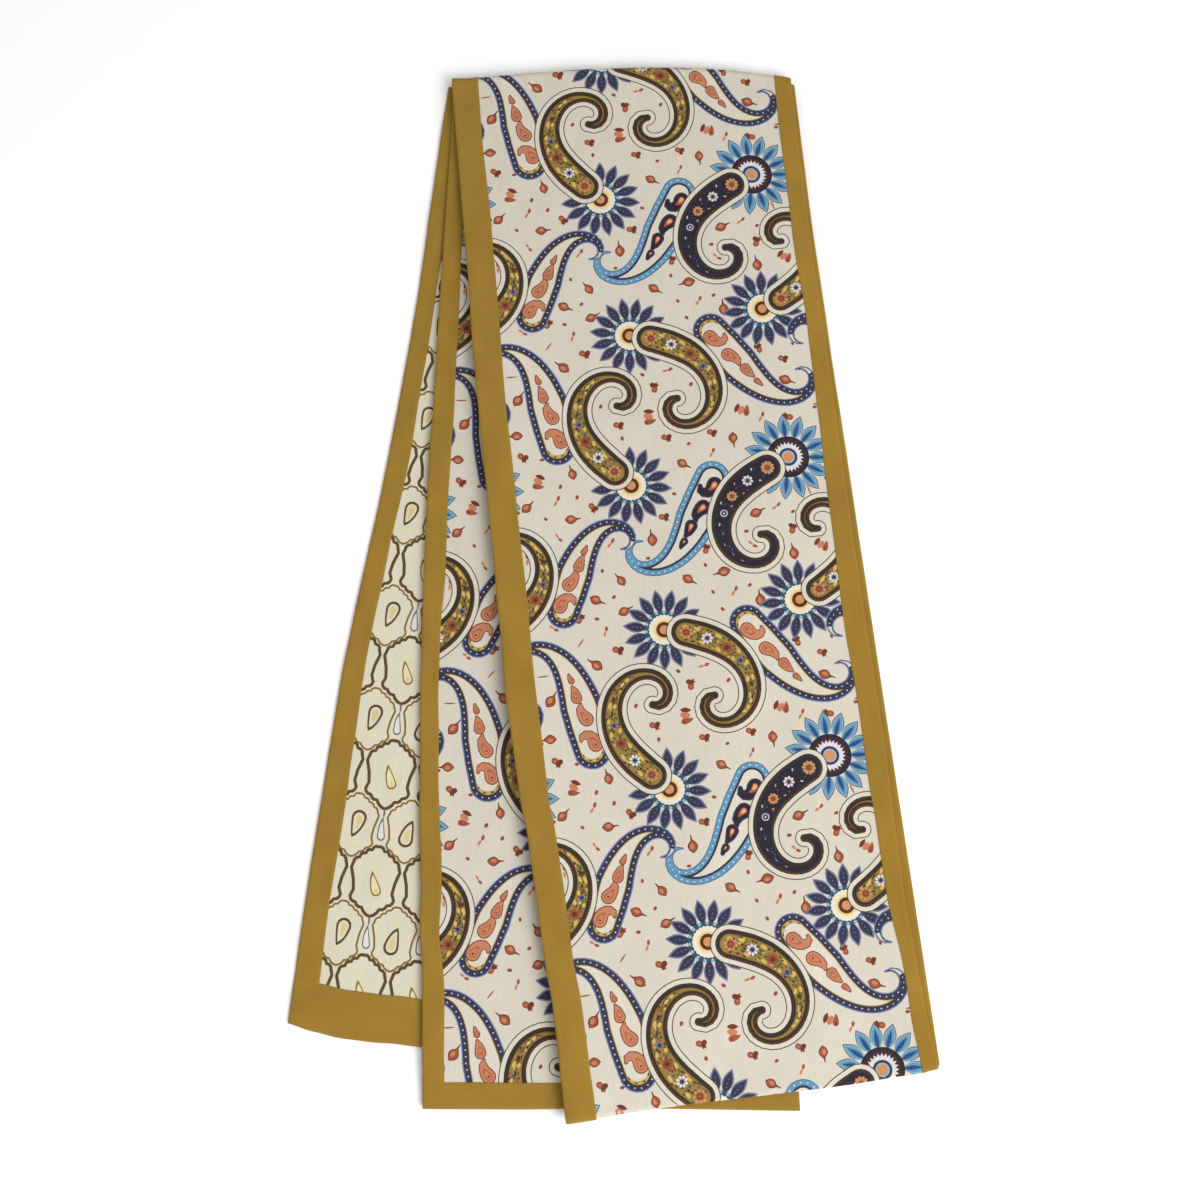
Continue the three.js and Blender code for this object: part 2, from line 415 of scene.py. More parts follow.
def drop(head, angle, radius, length, bend=0.0, steps=7):
    """A paisley drop: round at the head, running out to a tip at angle, which bends to one side."""
    t = np.linspace(0, 1, steps + 1)
    h = np.radians(angle + bend * t ** 1.5)
    step = length / steps
    x = np.r_[0, np.cumsum(np.cos((h[1:] + h[:-1]) / 2) * step)] + head[0]
    y = np.r_[0, np.cumsum(np.sin((h[1:] + h[:-1]) / 2) * step)] + head[1]
    w = radius * (1 - t) ** 0.8 * (1 + 0.5 * t)
    nx, ny = -np.sin(h), np.cos(h)
    left = np.c_[x + nx * w, y + ny * w]
    right = np.c_[x - nx * w, y - ny * w]
    cap = np.linspace(90, 270, 7)[1:-1] + angle
    round_end = np.asarray(head) + radius * np.c_[np.cos(np.radians(cap)), np.sin(np.radians(cap))]
    return np.vstack([left[::-1], round_end, right[:-1]])


THINNEST = 0.06                    # a comma ends where it would be narrower than this
PART_OVERLAP = 0.012               # the parts that a comma is cut into overlap by this share of its length


class Comma:
    """A paisley body: a spine that turns ever faster from the round head to the curled tip."""

    def __init__(self, head, heading, side, length, sweep, rows, count=96):
        self.side = side
        self.length = length
        self.t = np.linspace(0, 1, count + 1)
        middle = (self.t[1:] + self.t[:-1]) / 2
        angle = np.radians(heading + side * sweep(middle))
        step = length / count
        self.points = np.asarray(head) + np.vstack(
            [[0, 0], np.cumsum(np.c_[np.cos(angle), np.sin(angle)], axis=0) * step]
        )
        self.angle = np.radians(heading + side * sweep(self.t))
        self.half = np.interp(self.t, *zip(*rows))

    def at(self, t, across=0.0):
        """The point a share t down the spine and across of the half width, and the heading there."""
        x = np.interp(t, self.t, self.points[:, 0])
        y = np.interp(t, self.t, self.points[:, 1])
        a = np.interp(t, self.t, self.angle)
        w = np.interp(t, self.t, self.half) * across
        return np.array([x - np.sin(a) * w, y + np.cos(a) * w]), np.degrees(a)

    def rim(self, side, grow, t):
        x = np.interp(t, self.t, self.points[:, 0])
        y = np.interp(t, self.t, self.points[:, 1])
        a = np.interp(t, self.t, self.angle)
        w = side * np.maximum(np.interp(t, self.t, self.half) + grow, 0.0)
        return np.c_[x - np.sin(a) * w, y + np.cos(a) * w]

    def body(self, chart, grow, paint, parts=(0.55, 0.82), step=None):
        """Fills the comma grown by grow. It is cut into parts, so that none overlaps itself in the curl."""
        step = step or chart.step
        stop = self.t[self.half + grow > THINNEST].max()
        cuts = [0.0] + [c for c in parts if c < stop] + [stop]
        for a, b in zip(cuts[:-1], cuts[1:]):
            b_over = min(b + PART_OVERLAP, stop)
            t = np.linspace(a, b_over, max(int(round((b_over - a) * self.length / step)), 3))
            outline = [self.rim(1, grow, t)]
            if b_over >= 1.0:
                outline.append(self.cap(1.0, grow, 0))
            outline.append(self.rim(-1, grow, t)[::-1])
            if a == 0.0:
                outline.append(self.cap(0.0, grow, 180))
            chart.add(np.vstack(outline), paint)

    def cap(self, t, grow, facing):
        centre, heading = self.at(t)
        radius = max(float(np.interp(t, self.t, self.half)) + grow, 0.02)
        spread = np.linspace(90, -90, 11)[1:-1] + heading + facing
        return centre + radius * np.c_[np.cos(np.radians(spread)), np.sin(np.radians(spread))]

    def walk(self, grow, pitch, stop=1.0):
        """Points pitch apart down each side of the rim and round the head, with the ways out and along."""
        t = np.linspace(0.0, stop, 400)
        out = []
        for side in (1, -1):
            rim = self.rim(side, grow, t)
            d = np.r_[0, np.cumsum(np.hypot(*np.diff(rim, axis=0).T))]
            n = int(d[-1] / pitch)
            for k in range(n):
                s = (k + 0.5) * d[-1] / n
                spot = np.interp(s, d, rim[:, 0]), np.interp(s, d, rim[:, 1])
                a = np.degrees(np.interp(np.interp(s, d, t), self.t, self.angle))
                out.append((spot, a + 90 * side, a))
        centre, heading = self.at(0.0)
        radius = self.half[0] + grow
        n = max(int(np.pi * radius / pitch), 3)
        for k in range(n):
            a = heading + 90 + 180 * (k + 0.5) / n
            out.append((centre + radius * turn(a), a, a + 90))
        return out


# Half the width of each kind of comma: (share down the spine, half the width there).
BIG_WIDTHS = (
    (0, 5.8), (0.1, 6.05), (0.2, 5.75), (0.3, 5.0), (0.4, 4.3), (0.5, 3.75), (0.6, 3.05),
    (0.7, 2.4), (0.8, 2.15), (0.9, 2.15), (0.96, 2.1), (1, 1.6),
)
SLIM_WIDTHS = (
    (0, 7.3), (0.13, 8.3), (0.27, 8.6), (0.4, 7.2), (0.52, 5.6), (0.61, 4.3), (0.68, 3.3),
    (0.74, 2.5), (0.8, 1.95), (0.86, 1.5), (0.91, 1.05), (0.96, 0.55), (1, 0.12),
)
BIG_WIDTHS_LENGTH = 77             # the lengths of comma that those widths are for
SLIM_WIDTHS_LENGTH = 70


def scaled(rows, share):
    return [(t, half * share) for t, half in rows]


def blossom(chart, centre, radius, petals, light, dark, heart, start):
    """A small open flower with round petals and a darker line between them."""
    chart.add(disc(centre, radius * 0.82, 2 * petals), dark)
    for k in range(petals):
        d = turn(start + 360 * k / petals)
        chart.add(lens(centre + 0.35 * radius * d, centre + radius * d, radius * 0.25, 0.62, 3), light)
    chart.add(disc(centre, radius * 0.30, 6), heart)


def toothed(centre, outer, inner):
    """A disc with 24 small teeth."""
    corners = np.arange(48)
    radii = np.where(corners % 2, outer, inner)
    a = np.radians(7.5 * corners)
    return centre + np.c_[radii * np.cos(a), radii * np.sin(a)]


def navy_flower(chart, centre, start):
    centre = np.asarray(centre, float)
    for k in range(15):
        a = start + 24 * k
        d = turn(a)
        chart.add(lens(centre + 7.0 * d, centre + 17.3 * d, 2.35, 0.48, 6), "slate_blue")
        chart.add(lens(centre + 7.0 * d, centre + 16.3 * d, 1.78, 0.48, 6), "navy")
        if chart.fine:
            for r, size in ((9.6, 0.32), (11.3, 0.36), (13.0, 0.3)):
                chart.add(oval(centre + r * d, size, size, a, 4), "lavender_dot")
    chart.add(disc(centre, 8.1, 36), "teal")
    for k in range(15):
        bead = start + 12 + 24 * k
        chart.add(oval(centre + 7.4 * turn(bead), 0.62, 0.72, bead, 7), "bead")
    chart.add(disc(centre, 6.6, 36), "plum")
    chart.add(toothed(centre, 6.5, 6.1), "disc")
    chart.add(disc(centre, 4.3, 24), "disc_inner")
    chart.add(disc(centre, 3.35, 22), "rust")
    chart.add(disc(centre, 3.1, 22), "ring")
    chart.add(disc(centre, 1.9, 14), "orange")


def blue_flower(chart, centre, start):
    centre = np.asarray(centre, float)
    for k in range(15):
        a = start + 24 * k
        d = turn(a)
        chart.add(lens(centre + 8.0 * d, centre + 18.8 * d, 2.65, 0.5, 6), "slate")
        chart.add(lens(centre + 8.0 * d, centre + 18.1 * d, 2.28, 0.5, 6), "sky_light")
        chart.add(lens(centre + 8.2 * d, centre + 17.5 * d, 1.9, 0.5, 6), "sky")
        chart.add(lens(centre + 8.4 * d, centre + 16.0 * d, 0.95, 0.42, 5), "azure")
        if chart.fine:
            for r in (9.8, 11.2, 12.6, 14.0, 15.4):
                chart.add(oval(centre + r * d, 0.42, 0.36, a, 4), "navy")
    chart.add(disc(centre, 9.0, 36), "ink")
    for k in range(45 if chart.fine else 0):
        d = turn(start + 8 * k)
        outer = 8.4 if k % 3 else 7.6
        chart.add(lens(centre + 5.4 * d, centre + outer * d, 0.24, 0.5, 2), "plum")
    chart.add(toothed(centre, 6.6, 5.3), "white")
    chart.add(disc(centre, 4.0, 22), "haze")
    chart.add(disc(centre, 3.8, 22), "navy")
    chart.add(disc(centre, 2.85, 18), "sky_light")
    chart.add(disc(centre, 2.3, 16), "orange")


def rope(chart, comma):
    """The dark corded edge of a big comma, greenish towards the top of the strip and reddish below."""
    comma.body(chart, 0.0, "rope")
    for point, outward, along in comma.walk(-0.55, 1.3) if chart.fine else ():
        paint = "rope_down" if turn(outward)[1] > 0.12 else "rope_up"
        lean = 0.42 * turn(outward) + 0.25 * turn(along)
        chart.add(lens(point - lean, point + lean, 0.4, 0.5, 2), paint)


def big_comma(chart, row, rng):
    head, heading, side, length, curl, kind = row
    widths = scaled(BIG_WIDTHS, length / BIG_WIDTHS_LENGTH)
    comma = Comma(head, heading, side, length, lambda t: curl * (263 * t ** 1.7 + 110 * t ** 8), widths)
    comma.body(chart, 2.15, "line")
    comma.body(chart, 1.72, "cream")
    rope(chart, comma)
    if kind == "gold":
        comma.body(chart, -1.1, "seam")
        comma.body(chart, -1.75, "gold_dark")
        comma.body(chart, -2.1, "gold")
        gold_filling(chart, comma, rng)
    else:
        comma.body(chart, -1.25, "ink")
        navy_filling(chart, comma, rng)


# Places in a gold comma: (share down the spine, share of the half width across it, half the petal's length).
GOLD_PETALS = (
    (0.055, -0.52, 1.5), (0.17, -0.55, 1.7), (0.29, -0.5, 1.6), (0.36, -0.42, 1.1),
    (0.10, 0.52, 1.3), (0.2, 0.55, 1.4), (0.30, 0.5, 1.0), (0.44, -0.3, 1.3), (0.44, 0.32, 1.0),
)
# The same with the lean of each leaf off the spine, in degrees.
GOLD_LEAVES = (
    (0.07, 0.1, 60), (0.075, -0.3, -50), (0.165, 0.35, 50), (0.17, -0.15, -60), (0.27, 0.3, 40),
    (0.275, -0.3, -40), (0.37, 0.2, 30), (0.385, -0.2, -20), (0.42, 0.05, 0), (0.455, 0.0, 10),
)
# The same with each fleck's paint.
NAVY_FLECKS = (
    (0.07, -0.5, 40, "pearl"), (0.075, 0.5, -60, "pearl"), (0.19, 0.45, -40, "orange"),
    (0.195, -0.5, 30, "orange"), (0.31, 0.5, -20, "pearl"), (0.30, -0.4, 40, "orange"),
    (0.42, 0.2, 10, "pearl"), (0.47, -0.1, 0, "haze"), (0.53, 0.1, 0, "lavender"),
    (0.6, 0.0, 0, "haze"), (0.66, 0.0, 0, "lavender"),
)


def gold_filling(chart, comma, rng):
    flecks = ("olive", "umber", "gold_light", "umber", "rope", "rust", "umber", "green")
    spots = []
    for k in range(300 if chart.fine else 30):
        t = 0.66 * rng.random() ** 1.1 - 0.02
        room = 1 - 2.35 / max(np.interp(t, comma.t, comma.half), 2.45)
        across = (2 * rng.random() - 1) * room
        point, heading = comma.at(max(t, 0.0), across)
        point = point + min(t, 0.0) * comma.length * turn(heading)
        if any(np.hypot(*(point - spot)) < 1.05 for spot in spots):
            continue
        spots.append(point)
        size = 0.52 + 0.28 * rng.random()
        lean = 50 * (rng.random() - 0.5)
        chart.add(oval(point, size * 1.35, size * 0.75, heading + lean, 4), flecks[k % len(flecks)])
    for t, across, long in GOLD_PETALS:
        point, heading = comma.at(t, 0.8 * across)
        chart.add(oval(point, long, 0.72, heading + 12 * comma.side, 8), "gold_light")
    for t, across, lean in GOLD_LEAVES:
        point, heading = comma.at(t, across)
        reach = 1.1 * turn(heading + lean)
        chart.add(lens(point - reach, point + reach, 0.48, 0.5, 4), "olive")
    centre, heading = comma.at(0.005)
    blossom(chart, centre, 2.9, 8, "orange", "rust_dark", "rust", heading)
    for k in range(8):
        d = turn(heading + 45 * k)
        chart.add(lens(centre + 0.6 * d, centre + 2.3 * d, 0.16, 0.5, 2), "rust_dark")
    centre, heading = comma.at(0.12)
    blossom(chart, centre, 2.5, 8, "white", "slate", "navy", heading + 20)
    centre, heading = comma.at(0.235)
    blossom(chart, centre, 2.5, 8, "rust", "rust_dark", "umber", heading + 5)
    centre, heading = comma.at(0.335, 0.05)
    blossom(chart, centre, 1.55, 6, "lavender", "ink", "navy", heading)
    centre, heading = comma.at(0.475)
    chart.add(oval(centre, 1.0, 0.8, heading, 8), "umber")
    centre, heading = comma.at(0.515)
    chart.add(oval(centre, 1.2, 0.75, heading, 8), "olive")
    for t, long in ((0.565, 1.3), (0.60, 1.0)):
        centre, heading = comma.at(t)
        chart.add(oval(centre, long, 0.62, heading, 8), "gold_light")
    centre, heading = comma.at(0.645)
    chart.add(disc(centre, 0.6, 8), "umber")
    chart.add(disc(centre, 0.32, 6), "gold_light")


def navy_filling(chart, comma, rng):
    centre, heading = comma.at(0.0)
    centre = centre - 0.2 * turn(heading)
    blossom(chart, centre, 3.0, 10, "orange", "salmon_dark", "olive", heading)
    for k in range(10):
        d = turn(heading + 18 + 36 * k)
        chart.add(lens(centre + 0.9 * d, centre + 2.7 * d, 0.13, 0.5, 2), "salmon_dark")
    centre, heading = comma.at(0.128)
    blossom(chart, centre, 2.45, 8, "white", "slate", "umber", heading)
    centre, heading = comma.at(0.25)
    blossom(chart, centre, 2.35, 9, "orange", "salmon_dark", "olive", heading)
    centre, heading = comma.at(0.355, -0.05)
    chart.add(disc(centre, 1.6, 12), "pearl")
    chart.add(disc(centre, 1.15, 10), "navy")
    chart.add(disc(centre, 0.5, 6), "pearl")
    for t, across, lean, paint in NAVY_FLECKS:
        point, heading = comma.at(t, across)
        d = turn(heading + lean)
        chart.add(lens(point - 0.75 * d, point + 0.75 * d, 0.34, 0.5, 3), paint)
    specks = ("navy_soft", "plum", "lavender_dot", "teal")
    for k in range(40 if chart.fine else 8):
        t = 0.62 * rng.random()
        point, heading = comma.at(t, (2 * rng.random() - 1) * 0.6)
        chart.add(oval(point, 0.42, 0.22, heading, 4), specks[k % len(specks)])


def slim_comma(chart, row):
    head, heading, side, length, curl, kind = row
    widths = scaled(SLIM_WIDTHS, length / SLIM_WIDTHS_LENGTH)
    comma = Comma(head, heading, side, length, lambda t: curl * (272 * t ** 4.1 + 12 * t), widths)
    if kind == "navy":
        comma.body(chart, 0.4, "haze")
        comma.body(chart, -0.12, "navy")
        t = np.linspace(0.9, 0.985, 9)
        tip = np.vstack([comma.rim(1, -0.4, t), comma.rim(-1, -0.4, t)[::-1]])
        chart.add(tip, "cloth")
        inner, dots = -2.3, -1.2
    else:
        comma.body(chart, 0.3, "sky_edge")
        comma.body(chart, -0.05, "sky")
        inner, dots = -2.1, -1.05
    dot_paint = "pearl" if kind == "navy" else "white"
    for point, _, _ in comma.walk(dots, 2.55, 0.80):
        chart.add(disc(point, 0.38, 5), dot_paint)
    for t in (0.82, 0.85, 0.88) if chart.fine else ():
        chart.add(disc(comma.at(t)[0], 0.3, 5), dot_paint)
    if kind == "navy":
        comma.body(chart, inner, "umber")
        comma.body(chart, inner - 0.2, "gold_band")
        comma.body(chart, inner - 0.52, "cream")
        round_end(chart, comma, inner - 0.52)
    else:
        comma.body(chart, inner, "navy")
        comma.body(chart, inner - 0.95, "cream")
    for t, across, lean, hook, radius, long in DROPS:
        point, heading = comma.at(t)
        point = point + across * comma.side * turn(heading + 90)
        leaf_drop(chart, point, heading + comma.side * lean, comma.side * hook, radius, long, kind)


def round_end(chart, comma, grow):
    """The yellow lining of a slim comma is wider and mottled round its head."""
    centre, heading = comma.at(0.0)
    radius = comma.half[0] + grow
    a = np.radians(heading + 90 + np.linspace(0, 180, 13))
    outer = centre + (radius + 0.05) * np.c_[np.cos(a), np.sin(a)]
    inner = centre + 1.15 * turn(heading) + radius * np.c_[np.cos(a[::-1]), np.sin(a[::-1])]
    chart.add(np.vstack([outer, inner[1:-1]]), "gold_band")
    for k in range(7 if chart.fine else 0):
        angle = heading + 112 + 23 * k
        spot = centre + (radius - 0.35) * turn(angle)
        chart.add(oval(spot, 0.62, 0.34, angle + 90, 5), ("umber", "gold_light")[k % 2])


# The drops in a slim comma: (share down the spine, way off it, lean, hook of the tail, radius, length).
DROPS = (
    (0.03, -1.9, 6, 175, 2.55, 9.6),
    (0.185, -0.7, 30, -62, 2.5, 6.9),
    (0.32, 0.9, -4, 20, 1.95, 5.0),
    (0.425, 0.4, 6, -20, 0.95, 2.9),
)
# A drop's half width: (share of its length, share of its radius).
DROP_WIDTHS = ((0, 1.0), (0.15, 1.0), (0.35, 0.82), (0.55, 0.66), (0.8, 0.5), (1, 0.14))


def leaf_drop(chart, head, heading, hook, radius, long, kind):
    rows = [(t, w * radius) for t, w in DROP_WIDTHS]
    comma = Comma(head, heading, np.sign(hook), long, lambda t: abs(hook) * t ** 1.8, rows, 24)
    if kind == "navy":
        shades = (("salmon_dark", 0.46), ("salmon", 0.0))
    else:
        shades = (("navy", 0.75), ("ink", 0.1))
    for paint, grow in shades:
        comma.body(chart, grow, paint, parts=(), step=1.3)
    core = 0.5 * radius
    bend = hook * 0.35
    if kind == "navy":
        chart.add(drop(head, heading, core + 0.3, 1.6 * radius, bend, 5), "salmon_core")
        chart.add(drop(head, heading, core - 0.12, 1.15 * radius, bend, 4), "salmon")
        if radius > 1.5 and chart.fine:
            chart.add(oval(head, 0.36 * core, 0.55 * core, heading, 6), "salmon_dark")
    else:
        chart.add(drop(head, heading, core, 1.5 * radius, bend, 5), "salmon_core")
        chart.add(drop(head, heading, core * 0.6, 0.8 * radius, bend, 4), "orange_light")


# The big and the slim commas of one repeat: (head (across, down), heading, side, length, curl, kind).
# The head is in millimetres, the heading in degrees, and side is the way the tail curls.
BIG = (
    ((117.5, 51), 155, -1, 78, 0.93, "navy"),
    ((75, 117), 20, 1, 78, 0.93, "gold"),
    ((54, 46), 225, 1, 78, 0.93, "gold"),
    ((2, 107), 330, -1, 71, 0.93, "gold"),
)
SLIM = (
    ((94, 53), 115, 1, 70, 0.95, "blue"),
    ((101, 116), 60, -1, 70, 0.95, "navy"),
    ((31, 161), 265, -1, 70, 0.95, "navy"),
    ((26, 103), 290, 1, 63, 0.95, "navy"),
)
# The sprigs of one repeat: (across, down, angle of the stem, kind).
SPRIGS = (
    (16.0, 36.0, 40, "pair"), (24.0, 37.7, 0, "dot"), (21.5, 47.0, 20, "trio"), (36.0, 45.0, -100, "bud"),
    (30.5, 50.0, -60, "dot"), (15.5, 57.7, -40, "bud"), (28.5, 55.8, -55, "dash"), (37.0, 55.2, -70, "dot"),
    (43.0, 60.2, 60, "pair"), (23.0, 63.2, 40, "dot"), (33.5, 64.2, 0, "bud"), (27.5, 71.7, 55, "dash"),
    (49.0, 76.0, -50, "dash"), (13.5, 79.5, -85, "dash"), (44.0, 87.5, 90, "dot"),
    (51.2, 92.5, -125, "bud"), (40.0, 99.3, 30, "bud"), (47.5, 99.0, -40, "dot"), (51.0, 105.3, -25, "bud"),
    (32.5, 106.5, -50, "pair"), (39.5, 107.3, 10, "dot"), (21.5, 109.5, 40, "dash"),
    (42.5, 112.8, -70, "dash"), (31.8, 116.5, -48, "line"), (46.5, 121.3, 30, "pair"),
    (37.0, 126.5, -135, "bud"), (14.8, 128.8, 0, "line"), (16.5, 139.0, -50, "bud"),
    (14.5, 154.7, 180, "bud"), (51.0, 145.0, -60, "dot"), (57.5, 154.0, 20, "pair"),
    (58.5, 159.8, -90, "dot"), (70.5, 151.5, 0, "trio"), (77.0, 33.4, 20, "pair"), (96.2, 33.2, 30, "pair"),
    (70.0, 132.8, 40, "dot"), (74.5, 139.0, -80, "pair"), (90.0, 139.0, -50, "dot"),
    (81.0, 131.7, -15, "dash"), (88.5, 101.5, 60, "dot"), (97.5, 102.0, -55, "dash"),
    (104.0, 100.3, -40, "dot"), (107.5, 107.0, -90, "bud"), (91.5, 109.2, 60, "dot"),
    (113.0, 98.0, 50, "dot"), (94.0, 93.5, 170, "bud"), (79.0, 94.8, 35, "bud"), (86.8, 89.7, 70, "dot"),
    (88.0, 83.0, -70, "pair"), (63.5, 84.2, 0, "dot"), (66.0, 76.5, -95, "bud"), (72.0, 67.5, 20, "pair"),
    (77.5, 58.0, 20, "dot"), (82.5, 45.2, 35, "bud"), (95.5, 41.7, -60, "dash"), (86.0, 37.0, -25, "dot"),
    (105.0, 36.5, 95, "bud"), (105.5, 77.3, 0, "dot"), (107.5, 83.2, 40, "dash"), (110.5, 69.7, -20, "bud"),
    (119.5, 67.7, -35, "dash"), (126.0, 70.7, -30, "dot"), (125.0, 78.0, -70, "pair"),
    (124.0, 88.5, -95, "bud"), (136.0, 86.0, -60, "trio"), (130.0, 131.8, 30, "pair"),
    (120.5, 126.0, -100, "pair"), (135.0, 125.3, 80, "dot"), (130.0, 141.0, 25, "bud"),
    (110.0, 152.7, -70, "trio"), (118.0, 156.3, -55, "dash"), (129.0, 157.5, 190, "pair"),
    (141.0, 154.0, 0, "dot"), (134.0, 62.0, 75, "line"), (142.0, 57.5, 30, "dot"),
)


def sprig(chart, centre, angle, kind, rng):
    """A small leaf mark. It is placed by steps along its stem (d) and across it (n)."""
    centre = np.asarray(centre)
    angle = angle + 8 * (rng.random() - 0.5)
    size = 1.02 + 0.16 * rng.random()
    d, n = turn(angle), turn(angle + 90)
    if kind == "bud":
        chart.add(lens(centre + 1.2 * size * d, centre + 4.0 * size * d, 0.42, 0.3, 3, 0.2), "rust_dark")
        for low, high, half, paint in ((2.6, 2.5, 1.85, "rust_dark"), (2.2, 2.0, 1.45, "rust")):
            base, tip = centre - low * size * d, centre + high * size * d + 0.3 * n
            chart.add(lens(base, tip, half * size, 0.5, 6), paint)
        chart.add(oval(centre - 0.2 * n, 1.15 * size, 0.75 * size, angle, 8), "rust_light")
    elif kind == "pair":
        chart.add(drop(centre - 0.9 * size * d, angle, 1.15 * size, 3.4 * size, 50), "rust")
        second = centre + 1.0 * size * d - 0.9 * size * n
        chart.add(drop(second, angle + 100, 0.95 * size, 2.6 * size, -40), "rust_dark")
        chart.add(oval(centre - 0.7 * size * d, 0.5, 0.4, angle, 6), "rust_light")
    elif kind == "trio":
        base = centre - 2.4 * size * n - 1.6 * size * d
        tip = centre - 1.6 * size * n + 2.6 * size * d
        chart.add(lens(base, tip, 0.95 * size, 0.5, 5), "rust_dark")
        chart.add(oval(centre - 0.2 * n, 1.9 * size, 1.25 * size, angle + 20, 9), "rust_light")
        chart.add(drop(centre + 2.0 * size * n - 0.8 * d, angle, 1.15 * size, 3.6 * size, -30), "rust")
        chart.add(oval(centre + 2.1 * size * n - 0.8 * d, 0.5, 0.4, angle, 6), "rust_dark")
    elif kind == "dash":
        chart.add(oval(centre - 1.15 * size * d, 1.15 * size, 0.5 * size, angle, 7), "rust_light")
        chart.add(oval(centre + 0.95 * size * d, 1.05 * size, 0.62 * size, angle - 15, 7), "rust")
    elif kind == "line":
        chart.add(lens(centre - 2.4 * size * d, centre + 2.4 * size * d, 0.34, 0.5, 4), "rust")
    else:
        chart.add(oval(centre, 0.95 * size, 0.68 * size, angle, 7), "rust")
        chart.add(oval(centre + 0.3 * d, 0.45, 0.3, angle, 5), "rust_dark")


# The flowers of one repeat: (kind, centre (across, down), angle of the first petal).
FLOWERS = (
    (navy_flower, (60, 52.5), 10),
    (navy_flower, (66.5, 115), 0),
    (navy_flower, (124, 108.5), 10),
    (blue_flower, (127, 47), 5),
)


def face_chart(rng, fine=True):
    chart = Chart(fine)
    for row in SPRIGS:
        sprig(chart, row[:2], *row[2:], rng)
    for flower, centre, start in FLOWERS:
        flower(chart, centre, start)
    for row in SLIM:
        slim_comma(chart, row)
    for row in BIG:
        big_comma(chart, row, rng)
    return chart


# ================================================================ the reverse print: a scalloped trellis
# Half of each medallion's outline from its top point: (down, across, how far the arc to the next bulges).
DARK_RIM = (
    (0, 0, 0.75), (1.6, 2.5, 0.75), (3.1, 4.8, 0.75), (5.0, 7.1, 0.75), (7.3, 9.3, 0.2), (9.2, 9.9, 0.1),
    (13.8, 8.5, -0.1), (18, 7.9, -0.1), (20.6, 8.9, 0.7), (22.8, 6.4, 0.7), (24.6, 3.6, 0.6), (27.8, 0, 0),
)
OLIVE_RIM = (
    (0, 0, 0.6), (1.5, 2.3, 0.6), (2.9, 4.4, 0.6), (4.7, 6.5, 0.6), (6.5, 8.3, 0.2), (8.1, 9.0, 0.1),
    (12.8, 7.7, -0.1), (16.8, 7.2, -0.1), (19.0, 8.0, 0.6), (21.2, 5.5, 0.6), (23.0, 3.0, 0.5), (25.3, 0, 0),
)
TRELLIS_PITCH = 21.7               # from column to column
TRELLIS_DROP = 43.0                # from row to row


def outline_band(points, half):
    """The two outlines that lie half outside and half inside a closed line."""
    ahead = np.roll(points, -1, axis=0) - np.roll(points, 1, axis=0)
    normal = np.stack([ahead[:, 1], -ahead[:, 0]], axis=1)
    normal /= np.linalg.norm(normal, axis=1, keepdims=True)
    if np.sum((points - points.mean(axis=0)) * normal) < 0:
        normal = -normal
    return points + half * normal, points - half * normal


def scallops(rim):
    """The right-hand side of a medallion from the rows of its rim, with an arc between each two."""
    side = []
    for (down, across, bulge), (next_down, next_across, _) in zip(rim[:-1], rim[1:]):
        first, second = np.array([across, down], float), np.array([next_across, next_down], float)
        along = second - first
        outward = np.array([along[1], -along[0]]) / np.hypot(*along)
        for share in (0.0, 0.33, 0.67) if bulge > 0.3 else (0.0,):
            side.append(first + share * along + bulge * math.sin(math.pi * share) * outward)
    side.append(second)
    return np.array(side)


def medallion(chart, top, rim, half, paint, ground):
    right = scallops(rim)
    left = right[-2:0:-1] * (-1, 1)
    outer, inner = outline_band(np.asarray(top) + np.vstack([right, left]), half)
    chart.add(outer, paint)
    chart.add(inner, ground)


def ringed_drop(chart, head, tip, radius, line, paint, core):
    """A teardrop in outline, from its round head to its tip."""
    head, tip = np.asarray(head, float), np.asarray(tip, float)
    d = tip - head
    angle = math.degrees(math.atan2(d[1], d[0]))
    long = float(np.hypot(*d))
    chart.add(drop(head, angle - 8, radius, long, 16, 8), paint)
    chart.add(drop(head + 0.02 * d, angle - 8, radius - line, 0.80 * long, 16, 8), core)


def curl(chart, tip, mirror):
    """A faint hook of leaf beside the tip of a drop."""
    hook = [(-0.6, -0.3), (-0.2, 1.1), (1.2, 2.0), (2.8, 1.7), (3.6, 0.3),
            (3.0, 0.0), (2.4, 0.8), (1.4, 1.1), (0.6, 0.5), (0.0, -0.6)]
    chart.add(np.asarray(tip) + mirror * np.array(hook), "straw_pale")


